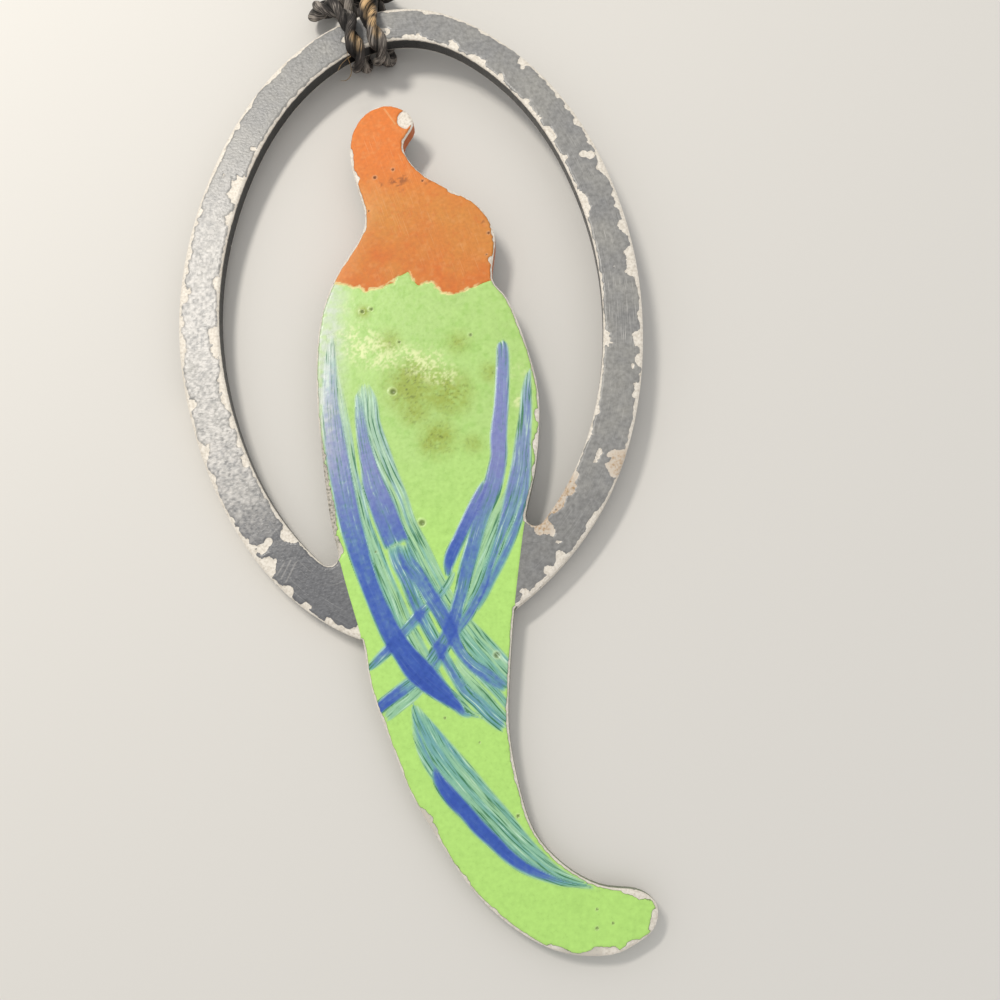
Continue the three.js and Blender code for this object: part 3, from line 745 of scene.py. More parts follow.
def sheetPiece(name, grid, field, skin, footLevels, facing=1):
    # The field's inside as a face with walls at its border and a plain face that closes it.
    # skin(x, y) gives the face's z and what its material reads; footLevels are (outwards, z) of
    # the walls' lower rings.
    flat, cells, border = grid.cellsInside(field)
    z, made = skin(*flat.T)
    rings = [np.column_stack([flat, z])]
    slopeY, slopeX = np.gradient(field, grid.spacing)
    rim = np.unique(border)
    out = np.stack([grid.sample(slopeX, *flat[rim].T), grid.sample(slopeY, *flat[rim].T)], 1)
    out /= np.maximum(np.linalg.norm(out, axis=1), 1e-6)[:, None]
    order = np.full(len(flat), -1)
    order[rim] = np.arange(len(rim))
    first, second = order[border[:, 0]], order[border[:, 1]]
    above = border
    for level, (outwards, z) in enumerate(footLevels):
        rings.append(np.column_stack([flat[rim] + out * outwards, np.full(len(rim), z)]))
        start = len(flat) + level * len(rim)
        below = np.stack([first + start, second + start], 1)
        cells += np.stack([above[:, 1], above[:, 0], below[:, 0], below[:, 1]], 1).tolist()
        above = below
    verts = np.vstack(rings)
    if facing < 0:
        cells = [row[::-1] for row in cells]
    piece = meshPiece(name, sheetToPart(verts), cells)
    shell = bmesh.new()
    shell.from_mesh(piece.data)
    openEdges = [e for e in shell.edges if e.is_boundary]
    bmesh.ops.triangle_fill(
        shell, edges=openEdges, use_beauty=True, normal=tuple(-facing * sheetNormal)
    )
    shell.to_mesh(piece.data)
    shell.free()
    piece.data.shade_smooth()
    piece.data.set_sharp_from_angle(angle=math.radians(sheet["sharpDegrees"]))
    return piece, verts, len(flat), made


plateOutline = outlineOf("pierced_plate")
blackOutline = outlineOf("black_ring_coat")
orangeOutline = outlineOf("orange_head_coat")
greenOutline = outlineOf("green_body_coat")
print("outlines read")

# Where the coat is chipped along the sheet's edges, as x, y on the edge, length and depth;
# ringChips are on the ring's two edges and birdChips, below, round the bird
ringChips = [
    (-9.1, 41.0, 1.5, 0.3), (-5.6, 40.8, 2.3, 0.5), (-3.3, 40.0, 1.7, 0.2), (-1.3, 38.8, 0.5, 0.3),
    (2.2, 36.0, 1.1, 0.8), (3.5, 34.6, 0.7, 0.4), (4.8, 32.9, 0.7, 0.5), (5.6, 31.8, 0.9, 0.4),
    (6.3, 30.6, 1.2, 0.5), (7.2, 28.9, 1.5, 0.5), (8.3, 26.6, 1.7, 0.7), (9.3, 23.7, 1.7, 0.6),
    (9.9, 21.3, 1.7, 0.7), (10.5, 18.4, 3.5, 1.1), (10.8, 14.6, 2.6, 0.3), (10.8, 12.2, 1.7, 0.8),
    (10.7, 10.4, 1.8, 0.8), (10.5, 8.2, 1.8, 0.5), (10.2, 6.7, 0.9, 0.6), (9.8, 4.8, 1.8, 0.3),
    (9.0, 2.4, 2.3, 1.3), (6.6, -2.2, 2.3, 0.4), (4.7, -4.8, 1.5, 1.0), (3.8, -5.7, 0.8, 0.8),
    (2.0, -7.4, 1.2, 0.8), (-6.9, 38.2, 2.3, 0.5), (-3.9, 37.2, 1.4, 0.6), (-2.0, 36.1, 2.1, 0.8),
    (-0.1, 34.4, 0.8, 0.6), (2.4, 31.6, 2.3, 0.5), (3.7, 29.4, 1.4, 0.7), (4.8, 27.3, 1.1, 0.5),
    (6.3, 23.5, 2.4, 0.7), (7.8, 12.2, 1.5, 0.7), (7.0, 6.5, 1.4, 0.35), (6.6, 4.9, 0.6, 0.3),
    (4.7, 0.5, 3.9, 0.7), (3.0, -2.0, 1.5, 1.2), (-21.2, 30.6, 1.1, 0.5), (-22.4, 27.9, 0.9, 0.5),
    (-23.1, 26.0, 1.4, 0.3), (-23.9, 23.1, 1.9, 0.4), (-24.5, 19.3, 3.8, 0.5),
    (-24.7, 16.1, 1.8, 0.9), (-24.7, 14.0, 1.2, 0.5), (-24.5, 12.1, 1.9, 0.6),
    (-24.0, 9.3, 2.3, 0.2), (-23.6, 7.3, 1.0, 0.8), (-22.4, 3.6, 2.1, 0.8), (-21.5, 1.5, 1.1, 0.6),
    (-19.8, -1.6, 0.6, 0.4), (-18.6, -3.5, 3.2, 0.6), (-17.2, -5.2, 1.8, 1.1),
    (-15.5, -7.0, 1.4, 0.7), (-14.1, -8.1, 1.1, 0.5), (-12.1, -9.4, 1.5, 0.5),
    (-10.4, -10.1, 1.7, 1.0), (-19.1, 28.5, 0.9, 0.6), (-20.4, 25.0, 2.7, 1.1),
    (-21.0, 22.6, 1.4, 0.7), (-21.7, 17.0, 1.8, 0.6), (-21.5, 12.7, 3.2, 0.8),
    (-20.6, 8.1, 3.8, 0.6), (-19.9, 6.1, 1.5, 0.6), (-19.3, 4.5, 0.8, 0.5), (-18.7, 3.1, 1.1, 0.8),
    (-15.2, -2.5, 1.5, 0.8),
]
rustSpots = [(9.0, 2.4, 1.6), (4.7, 0.5, 2.0), (3.0, -2.0, 1.4), (3.9, -0.7, 1.4)]  # x, y, radius
# spots rubbed bare inside the coat, as x, y, radius; a second, smaller radius keeps its coat
ringSpots = [(-9.35, 38.93, 0.42, 0.13), (-12.5, 38.3, 0.38, 0.12), (6.6, 27.6, 0.33, 0),
             (7.1, 27.5, 0.35, 0), (-16.9, -3.2, 0.3, 0), (-17.3, -3.7, 0.4, 0)]
# bare rim along the ring's inner and outer edges, and how it sways and frays
ringWear = {"inner": 0.13, "outer": 0.2, "sway": 0.22, "fray": 0.09, "ragged": 0.5, "seed": 11,
            "middle": (-7.0, 15.5)}
birdWear = {"inner": 0.11, "outer": 0.11, "sway": 0.09, "fray": 0.035, "ragged": 0.3, "seed": 23,
            "middle": (-5.0, 0.0)}
wearSize = {"sway": 1.6, "fray": 0.3, "ragged": 0.55, "leastRim": 0.05}  # noise sizes, least rim
birdChips = [
    (10.3, -29.0, 1.6, 0.5), (9.0, -31.0, 1.4, 0.4), (7.3, -31.4, 1.5, 0.5), (5.6, -31.4, 1.0, 0.3),
    (-4.6, -23.2, 1.0, 0.4), (-5.0, -22.6, 0.8, 0.5), (2.9, 4.0, 1.2, 0.4), (3.0, 6.2, 1.2, 0.4),
    (2.6, 1.8, 1.0, 0.3), (-0.5, 18.7, 0.7, 0.4), (-2.4, 23.9, 1.0, 0.2), (-3.6, 24.6, 0.8, 0.2),
    (-10.7, 21.5, 1.4, 0.2), (-11.5, 25.8, 1.0, 0.2), (-11.0, 24.4, 0.8, 0.2),
    (0.7, -15.0, 1.2, 0.2), (1.2, -20.0, 1.5, 0.2), (-12.6, -0.2, 7.5, 0.42), (-12.0, -3.6, 2.4, 0.4),
    (2.8, 7.4, 1.6, 0.15), (2.7, 4.3, 2.6, 0.28), (2.8, 2.0, 1.6, 0.3), (2.2, -1.7, 2.4, 0.15),
    (4.0, -30.9, 1.8, 0.4), (6.7, -31.1, 2.2, 0.7), (8.3, -30.4, 1.4, 0.3), (-5.0, -22.4, 1.6, 0.5),
    (-4.1, -23.7, 1.2, 0.2), (-2.4, -26.0, 1.8, 0.2), (0.0, -28.2, 2.0, 0.25), (-12.3, 30.5, 2.0, 0.2),
    (-11.9, 27.5, 2.2, 0.25), (-11.5, 25.9, 1.2, 0.3), (-10.8, 23.5, 2.4, 0.22), (-3.5, 24.7, 1.2, 0.3),
    (9.2, -27.2, 2.4, 0.45), (-0.8, 21.1, 2.2, 0.2),
]
birdRust = [(-5.1, -22.6, 1.6), (5.4, -31.2, 1.8)]  # x, y, radius


def edgeWear(x, y, grid, plateField, chips, wear, spots=()):
    # how far, in mm, each point lies inside the coat's worn edge; below 0 the metal is bare
    depth = -grid.sample(plateField, x, y)
    slopeY, slopeX = np.gradient(plateField, grid.spacing)
    fromX, fromY = x - wear["middle"][0], y - wear["middle"][1]
    outward = grid.sample(slopeX, x, y) * fromX + grid.sample(slopeY, x, y) * fromY
    outer = smoothStep(outward / np.hypot(fromX, fromY), -0.2, 0.2)
    rim = wear["inner"] + (wear["outer"] - wear["inner"]) * outer
    sway = cloudNoise(x, y, wearSize["sway"], wear["seed"], 2)
    rim = rim + wear["sway"] * sway * (0.5 + 0.5 * outer)
    fray = wear["fray"] * cloudNoise(x, y, wearSize["fray"], wear["seed"] + 3, 2)
    coat = depth - np.maximum(rim, wearSize["leastRim"]) - fray
    ragged = cloudNoise(x, y, wearSize["ragged"], wear["seed"] + 5, 4)
    for cx, cy, length, reach in chips:
        nx, ny = grid.sample(slopeX, cx, cy), grid.sample(slopeY, cx, cy)
        behind = (cx - x) * nx + (cy - y) * ny  # how far the point lies inwards of the chip's edge
        near = np.where((np.hypot(x - cx, y - cy) < length + reach) & (behind < 1.2 * reach + 0.5))[0]
        alongEdge = ((x[near] - cx) * -ny + (y[near] - cy) * nx) / (length / 2)
        inwards = np.maximum(depth[near], 0) / reach
        bite = (np.sqrt(alongEdge**2 + inwards**2) - 1) * min(length / 2, reach)
        fringe = wear["ragged"] * (0.3 + 0.7 * reach) * (ragged[near] + 0.22)
        coat[near] = np.minimum(coat[near], bite + fringe + fray[near])
    for cx, cy, radius, kept in spots:  # bare rings, or whole spots where nothing is kept
        away = np.hypot(x - cx, y - cy)
        coat = np.minimum(coat, np.maximum(away - radius, kept - away) + fray)
    return coat


def coatHeight(coat, depth):
    # the sheet's face with the film over it, which is thinner about its chips, falling off
    # towards the sheet's edge as a parabola
    film = sheet["film"] * (0.6 + 0.4 * smoothStep(coat, -0.03, 0.08))
    inwards = 1 - np.clip(depth / sheet["edgeRound"], 0, 1)
    return sheet["thickness"] + sheet["filmFoot"] + film - sheet["edgeDrop"] * inwards**2


def raisedHeight(coat, depth, step, rise):
    # the bird's coats lie thicker than the black one, and fall to its height at their borders
    return coatHeight(coat, depth) + rise * smoothStep(np.minimum(coat, step), -0.02, 0.1)


# the rings of the coats' walls, as far outwards and as high above the back
wallLevels = [
    (sheet["proud"], sheet["thickness"] - 0.2),
    (sheet["proud"], sheet["thickness"] / 2),
    (sheet["proud"], sheet["wallFoot"]),
]


def withWalls(onFace, onWall, walls):
    # the face's values, then the walls' points, with one value for all or one for each
    return np.concatenate([onFace, np.full(walls, onWall)])


# Enamel material
def enamelMaterial(name, look):
    # Stoved enamel on bright white metal. The film attribute says where the coat is chipped: bare
    # metal, then a thin dark line of the coat's broken edge, then the coat in its own colour.
    # Its skin has a slight orange peel and fine brush or rub lines along the way attribute.
    material = bpy.data.materials.new(name)
    material.use_nodes = True
    tree = material.node_tree
    shader = tree.nodes["Principled BSDF"]
    place = addNode(tree, "TexCoord").outputs["Object"]
    film, colour, rust, way, lines = (
        addNode(tree, "Attribute", attribute_name=n).outputs[o]
        for n, o in (
            ("film", "Fac"),
            ("coatColour", "Color"),
            ("rust", "Fac"),
            ("way", "Vector"),
            ("lines", "Fac"),
        )
    )

    def noise(scale, detail, vector=place):
        return addNode(tree, "TexNoise", {"Vector": vector}, Scale=scale, Detail=detail).outputs["Fac"]

    def remap(value, low, high, toLow=0.0, toHigh=1.0):
        limits = dict(FromMin=low, FromMax=high, ToMin=toLow, ToMax=toHigh)
        return addNode(tree, "MapRange", {"Value": value}, **limits).outputs[0]

    def blend(share, first, second):
        # a colour mix; a plain colour is written on the socket itself
        mix = addNode(tree, "Mix", data_type="RGBA")
        for socket, source in ((0, share), (6, first), (7, second)):
            if isinstance(source, tuple):
                mix.inputs[socket].default_value = source
            else:
                tree.links.new(source, mix.inputs[socket])
        return mix.outputs[2]

    # where the coat is, with a crumbled edge, and the dark line just inside it
    crumb = remap(noise(look["crumbScale"], 3.0), 0.25, 0.75, -look["crumb"], look["crumb"])
    edge = addNode(tree, "Math", {0: film, 1: crumb}, operation="ADD").outputs[0]
    coated = remap(edge, 0.46, 0.54)
    inCoat = remap(edge, *look["line"])
    # bare metal with faint pits, brown where it has rusted
    speckle = noise(look["speckleScale"], 4.0)
    metal = blend(remap(speckle, 0.3, 0.6), rgba(look["metalDark"]), rgba(look["metal"]))
    rustShare = addNode(tree, "Math", {0: rust, 1: remap(speckle, 0.3, 0.7)}, operation="MULTIPLY")
    metal = blend(rustShare.outputs[0], metal, rgba(look["rust"]))
    # the coat: fine grain, then lines along the way where the lines attribute asks for them
    grain = noise(look["grainScale"], 5.0)
    stretched = addNode(tree, "Mapping", {"Vector": way}, Scale=(0.35, look["lineDensity"], 1.0))
    streak = noise(1.0, 3.0, stretched.outputs[0])
    shade = remap(grain, 0.3, 0.7, 1 - look["grain"], 1 + look["grain"])
    shaded = addNode(tree, "VectorMath", {0: colour, "Scale": shade}, operation="SCALE").outputs[0]
    paleLine = remap(streak, *look["paleLine"])
    linesHere = addNode(tree, "Math", {0: paleLine, 1: lines}, operation="MULTIPLY").outputs[0]
    shaded = blend(linesHere, shaded, rgba(look["scratch"]))
    darkLine = remap(streak, *look["darkLine"])
    linesHere = addNode(tree, "Math", {0: darkLine, 1: lines}, operation="MULTIPLY").outputs[0]
    shaded = blend(linesHere, shaded, rgba(look["groove"]))
    coat = blend(inCoat, rgba(look["under"]), shaded)
    tree.links.new(blend(coated, metal, coat), shader.inputs["Base Color"])
    tree.links.new(remap(coated, 0, 1, look["metalness"], 0.0), shader.inputs["Metallic"])
    smoothest, roughest = (look["roughness"] + side * look["roughnessSway"] for side in (-1, 1))
    rough = remap(grain, 0.3, 0.7, smoothest, roughest)
    # the bare metal is duller than the coat
    dull = addNode(tree, "MapRange", {0: coated, 4: rough}, ToMin=look["bareRoughness"])
    tree.links.new(dull.outputs[0], shader.inputs["Roughness"])
    shader.inputs["Specular IOR Level"].default_value = look["sheen"]
    peel = noise(look["peelScale"], 2.0)
    skin = addNode(tree, "Bump", {"Height": peel}, Strength=look["peel"], Distance=look["peelDepth"])
    rubbed = addNode(
        tree,
        "Bump",
        {"Height": streak, "Normal": skin.outputs["Normal"]},
        Strength=look["lineBump"],
        Distance=look["lineDepth"],
    )
    tree.links.new(rubbed.outputs["Normal"], shader.inputs["Normal"])
    return material


# scales are per metre; each pair of numbers is where a noise begins and where it shows whole
blackLook = {
    "crumbScale": 2600.0,
    "crumb": 0.3,  # how far the film's edge crumbles
    "line": (0.5, 0.6),  # the broken edge's dark line, in the film's share
    "metal": "#ebe4d8",
    "metalDark": "#cfc6b8",
    "speckleScale": 5200.0,
    "metalness": 0.15,
    "rust": "#a9865a",
    "under": "#565450",  # of that dark line
    "grainScale": 3400.0,
    "grain": 0.2,
    "lineDensity": 14.0,  # per millimetre across the way
    "paleLine": (0.58, 0.72),
    "scratch": "#dcd9d2",
    "darkLine": (0.4, 0.26),
    "groove": "#6c6c6c",
    "lineBump": 0.25,
    "lineDepth": 0.00002,  # metres
    "roughness": 0.34,
    "roughnessSway": 0.06,
    "bareRoughness": 0.6,
    "sheen": 0.5,
    "peelScale": 5200.0,
    "peel": 0.8,
    "peelDepth": 0.00003,  # metres
}
orangeLook = dict(
    blackLook,
    grain=0.08,
    under="#6b5244",
    roughness=0.48,
    sheen=0.15,
    peelScale=2600.0,
    peel=0.4,
    line=(0.52, 0.66),
    scratch="#f0c898",
    groove="#b8622e",
    crumb=0.18,
)
greenLook = dict(
    blackLook,
    sheen=0.4,
    peelScale=2600.0,
    peel=0.4,
    darkLine=(0.47, 0.36),
    grain=0.06,
    under="#4f543f",
    roughness=0.32,
    line=(0.52, 0.7),
    scratch="#c8ead0",
    groove="#3f7d55",
    lineDensity=7.0,
    lineBump=0.6,
    crumb=0.18,
    rust="#6d6a5c",
)


def mixColour(a, b, share):
    return a + (b - a) * np.clip(share, 0, 1)[:, None]


def rampColour(value, stops):
    # a colour for each value, straight between the stops in linear light
    at = [s for s, _ in stops]
    tones = np.array([linear(c) for _, c in stops])
    return np.stack([np.interp(value, at, channel) for channel in tones.T], 1)


def scratched(x, y, colour, lines, tone):
    # hair-thin pale lines from x, y to x, y, by the distance to each of them
    for ax, ay, bx, by in lines:
        share = ((x - ax) * (bx - ax) + (y - ay) * (by - ay)) / ((bx - ax) ** 2 + (by - ay) ** 2)
        share = np.clip(share, 0, 1)
        away = np.hypot(x - ax - share * (bx - ax), y - ay - share * (by - ay))
        colour = mixColour(colour, linear(tone), 0.35 * smoothStep(0.08 - away, 0, 0.07))
    return colour


def regionField(grid, plateField, own, others, ripple=0.0):
    # The line between coats is where both are equally near. The region is negative where the
    # point is on the sheet and on its own side of that line.
    nearestOther = np.minimum.reduce([grid.distanceTo(o) for o in others])
    between = (grid.distanceTo(own) - nearestOther) / 2
    # the collar is ragged; the coats' other borders are neat
    ragged = cloudNoise(grid.x, grid.y, 0.6, 71, 4) * smoothStep(grid.y, 12, 13)
    between = between + ripple * ragged
    return np.maximum(plateField, between), between


def dressCoat(piece, verts, count, made, wallColour, look, slotName, *nodes):
    # the attributes that the enamel reads and its material; the solids that the piece is drawn in place of are
    # hidden
    walls = len(verts) - count
    film = np.clip(0.5 + made["coat"] / sheet["filmEdge"], 0, 1)  # 0.5 at the worn edge
    giveNumber(piece, "film", withWalls(film, made.get("wallFilm", 1.0), walls))
    giveNumber(piece, "rust", withWalls(made.get("rust", np.zeros(count)), 0.0, walls))
    giveNumber(piece, "lines", withWalls(made["lines"], 0.0, walls))
    giveVector(piece, "way", np.vstack([made["way"], np.zeros((walls, 3))]))
    wall = np.tile(linear(wallColour), (walls, 1))
    giveColour(piece, "coatColour", np.vstack([made["colour"], wall]))
    piece.data.materials.append(enamelMaterial(slotName + "Finish", look))
    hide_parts(*nodes)
    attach(piece, "ornament")


# The black coat on the ring
ringTone = {
    # mid greys for the black coat, with its broad sheen painted into the colour
    "base": "#9c9a94",
    "dark": "#828283",
    "haze": "#cbc7c1",  # painted glare: the left side made lighter where the light catches it
    "grimy": "#68696c",  # darker towards the ring's bottom, most in the part under the body's left side
    # painted shade: the walls near black, darker than the face, as they lie in shadow
    "wall": "#141414",
    "spacing": 0.085,
    "middleOval": (16.2, 24.4),  # half its width and height, between the ring's two edges
}
# fine scratches from x, y to x, y
ringScratches = [(-15.86, -5.94, -15.19, -4.55), (-15.48, -6.16, -14.81, -4.7),
                 (-16.16, -5.64, -15.62, -4.69)]


def ringCoat():
    grid = FlatGrid(ringTone["spacing"])
    plateField = grid.distanceTo(plateOutline)
    field, _ = regionField(grid, plateField, blackOutline, [orangeOutline, greenOutline])

    def skin(x, y):
        coat = edgeWear(x, y, grid, plateField, ringChips, ringWear, ringSpots)
        depth = -grid.sample(plateField, x, y)
        rust = sum(np.clip(1.6 - 1.6 * np.hypot(x - a, y - b) / r, 0, 1) for a, b, r in rustSpots)
        cloud = cloudNoise(x, y, 2.6, 41) + 0.4 * cloudNoise(x, y, 0.5, 43)
        colour = mixColour(linear(ringTone["base"]), linear(ringTone["dark"]), 0.5 + 0.5 * cloud)
        # darker towards the ring's bottom, most at its lower left
        grimy = smoothStep(-x - 0.8 * y, 11, 18) * smoothStep(2 - y, 0, 5)
        grimy = np.maximum(grimy, 0.4 * smoothStep(2 - y, 0, 5))
        colour = mixColour(colour, linear(ringTone["grimy"]), grimy)
        # painted glare: hazy and speckled down the left side, where the light catches it
        haze = smoothStep(-x, 13, 20) * smoothStep(34 - y, 0, 20) * smoothStep(y, -8, 5)
        haze = haze * (0.62 + 0.3 * cloudNoise(x, y, 0.9, 48) + 0.75 * cloudNoise(x, y, 0.17, 47, 1))
        colour = mixColour(colour, linear(ringTone["haze"]), haze)
        colour = scratched(x, y, colour, ringScratches, ringTone["haze"])
        # rub lines follow the ring: along is the way round its middle, across is the depth
        turn = np.arctan2(y - ringWear["middle"][1], x - ringWear["middle"][0])
        way = np.stack([turn * 20, depth, 0 * x], 1)
        rubbed = smoothStep(x, 2, 7) * smoothStep(y, 4, 12) * smoothStep(30 - y, 0, 6)
        lines = 0.15 + 0.6 * rubbed * smoothStep(cloudNoise(x, y, 2.0, 53), -0.2, 0.4)
        made = dict(coat=coat, colour=colour, way=way, lines=lines, rust=np.clip(rust, 0, 1))
        return coatHeight(coat, depth), made

    piece, verts, count, made = sheetPiece("ringCoat", grid, field, skin, wallLevels)
    # the ring's outer wall is rubbed bare along its top, and in patches further down it towards
    # the ring's lower end
    wallX, wallY, wallZ = verts[count:].T
    midX, midY = ringWear["middle"]
    halfWidth, halfHeight = ringTone["middleOval"]
    outside = np.hypot((wallX - midX) / halfWidth, (wallY - midY) / halfHeight) > 1
    patches = np.clip(0.5 + (wallY - 8) / 7 + cloudNoise(wallX, wallY, 1.3, 45), 0, 1)
    patches = np.where(wallZ > sheet["thickness"] - 0.3, 0.0, patches)
    made["wallFilm"] = np.where(outside, patches, 1.0)
    parts = (piece, verts, count, made)
    dressCoat(*parts, ringTone["wall"], blackLook, "black_enamel", "black_ring_coat")


ringCoat()
print("ring coat made")


# The orange coat on the head and breast
headTone = {
    "base": "#d28f48",
    "crown": "#e6803e",
    "red": "#d67238",
    "pale": "#e8a468",
    "brown": "#8a5638",
    "fringe": "#f2e2a4",
    "pit": "#5a4034",
    "pitLip": "#f0c8a0",
    "wall": "#c0693a",
    "spacing": 0.078,
    "rise": 0.06,  # above the black coat's face
}
beakPatch = (-7.5, 30.95, 0.8)  # x, y, radius: rubbed through on the beak's tip
headPits = [(-9.81, 25.85, 0.16), (-8.4, 26.51, 0.14), (-6.05, 25.5, 0.1), (-1.0, 19.15, 0.08),
            (-0.85, 20.95, 0.13), (-10.2, 23.0, 0.08)]
headScratches = [(-9.2, 31.85, -8.3, 30.5)]
# brown specks, as x, y, radius of the patch that each lot lies in
headSpecks = [(-8.4, 25.5, 0.5), (-7.9, 25.4, 0.6), (-7.5, 25.7, 0.6), (-7.8, 24.9, 0.5),
              (-9.4, 25.2, 0.35), (-5.6, 25.3, 0.4), (-4.4, 25.1, 0.35), (-1.3, 21.9, 0.3)]


def pitted(x, y, z, colour, pits, tone):
    # round craters left by bubbles, x, y, radius: a raised lip, as a bell curve of the distance
    # from the middle, round a hollow
    for cx, cy, r in pits:
        reach = np.hypot(x - cx, y - cy) / r
        lip = np.exp(-(((reach - 1.0) / 0.35) ** 2))
        hole = smoothStep(1.05 - reach, 0, 0.5)
        z = z + 0.03 * lip - 0.06 * hole
        colour = mixColour(colour, linear(tone["pitLip"]), 0.4 * lip)
        colour = mixColour(colour, linear(tone["pit"]), 0.8 * hole)
    return z, colour


def fringed(colour, grid, between, x, y, tone):
    # a broken pale line of bare undercoat where the two colours meet
    away = grid.sample(between, x, y) + 0.12 * cloudNoise(x, y, 0.25, 78)
    here = smoothStep(0.14 + away, 0, 0.08) * smoothStep(cloudNoise(x, y, 0.6, 77), -0.55, 0.0)
    return mixColour(colour, linear(tone), 0.85 * here * smoothStep(y, 12, 13))


def headCoat():
    grid = FlatGrid(headTone["spacing"])
    plateField = grid.distanceTo(plateOutline)
    others = [blackOutline, greenOutline]
    field, between = regionField(grid, plateField, orangeOutline, others, 0.24)

    def skin(x, y):
        coat = edgeWear(x, y, grid, plateField, birdChips, birdWear)
        patch = np.hypot((x - beakPatch[0]) * 1.25, y - beakPatch[1]) - beakPatch[2]
        coat = np.minimum(coat, patch + 0.14 * cloudNoise(x, y, 0.5, 61))
        depth, step = -grid.sample(plateField, x, y), -grid.sample(field, x, y)
        z = raisedHeight(coat, depth, step, headTone["rise"])
        cloud = 0.25 + 0.4 * cloudNoise(x, y, 3.0, 63)
        colour = mixColour(linear(headTone["base"]), linear(headTone["red"]), cloud)
        colour = mixColour(colour, linear(headTone["crown"]), 0.8 * smoothStep(y, 22, 28))
        # redder towards the collar, and paler at the lower left as a painted glare where the light catches it
        low = smoothStep(20.2 - y - 0.25 * x, 0, 3.5) * (0.5 + 0.4 * cloudNoise(x, y, 1.2, 64))
        colour = mixColour(colour, linear(headTone["red"]), low)
        pale = smoothStep(-10.2 - x + (y - 19) * 0.4, 0, 2.4) * smoothStep(26 - y, 0, 4) * 0.7
        colour = mixColour(colour, linear(headTone["pale"]), pale)
        mottle = smoothStep(cloudNoise(x, y, 0.4, 68), 0.1, 0.6)
        colour = mixColour(colour, linear(headTone["pale"]), 0.25 * mottle)
        mottle = smoothStep(cloudNoise(x, y, 0.3, 67), 0.15, 0.6)
        colour = mixColour(colour, linear(headTone["red"]), 0.3 * mottle)
        speck = cloudNoise(x, y, 0.25, 66)
        for place in headSpecks:
            there = smoothStep(speck + 0.1, 0, 0.3) * spot(x, y, place)
            colour = mixColour(colour, linear(headTone["brown"]), 0.8 * there)
        colour = fringed(colour, grid, between, x, y, headTone["fringe"])
        colour = scratched(x, y, colour, headScratches, headTone["fringe"])
        z, colour = pitted(x, y, z, colour, headPits, headTone)
        way = np.stack([y - 0.35 * x, x + 0.35 * y, 0 * x], 1)
        lines = 0.3 * smoothStep(cloudNoise(x, y, 2.2, 69), -0.1, 0.5)
        return z, dict(coat=coat, colour=colour, way=way, lines=lines)

    parts = sheetPiece("headCoat", grid, field, skin, wallLevels)
    dressCoat(*parts, headTone["wall"], orangeLook, "orange_enamel", "orange_head_coat")


headCoat()
print("head coat made")


# The green coat and its brush strokes
bodyTone = {
    "base": "#b7e578",
    "upper": "#b1d37e",
    "deep": "#9fcb66",
    "olive": "#9cb048",
    "speck": "#56642c",
    "glint": "#e6eeb0",
    # painted highlight for the left flank's edge
    "rubbed": "#ccd2cc",
    "pit": "#66743f",
    "pitLip": "#dcebae",
    "wall": "#55633c",
    "spacing": 0.08,
    "rise": 0.06,
    "strokeRise": 0.035,  # of the thickest paint
    "ridge": 0.014,  # of the brush's hairs in thin paint
    "hairGap": 0.17,
}
bodyPits = [(-8.01, 8.16, 0.27), (-5.67, -1.88, 0.27), (-0.2, -11.46, 0.25), (-10.5, 14.6, 0.17),
            (-9.8, 14.8, 0.15), (-7.6, 12.1, 0.12), (-2.2, 12.6, 0.14), (-9.0, -4.0, 0.08),
            (-3.85, -15.82, 0.09), (1.24, -22.41, 0.14), (6.51, -28.41, 0.09),
            (6.49, -29.61, 0.12), (7.56, -29.28, 0.09), (-1.4, -17.5, 0.07)]
# olive stains and pale glints on the breast, as x, y, radius, strength
bodyStains = [(-6.6, 8.6, 3.2, 1.0), (-3.9, 8.0, 2.8, 0.9), (-4.6, 4.4, 2.2, 0.9), (-8.4, 12.2, 1.5, 0.6),
              (-3.2, 12.0, 1.6, 0.5), (-6.4, 6.6, 1.8, 0.7), (-10.4, 14.6, 0.9, 0.7),
              (-0.8, 9.6, 1.2, 0.6), (-2.0, 4.0, 1.3, 0.4)]
bodyGlints = [(-11.0, 12.3, 2.0, 0.9), (-9.7, 11.3, 1.8, 0.9), (-5.6, 10.5, 1.9, 0.9),
              (-4.3, 9.5, 1.4, 0.9), (-7.4, 11.0, 1.4, 0.7), (-8.8, 10.3, 0.9, 0.5), (1.5, 7.3, 0.7, 0.7),
              (-11.6, 15.2, 1.0, 0.5), (1.2, 9.6, 0.9, 0.5)]

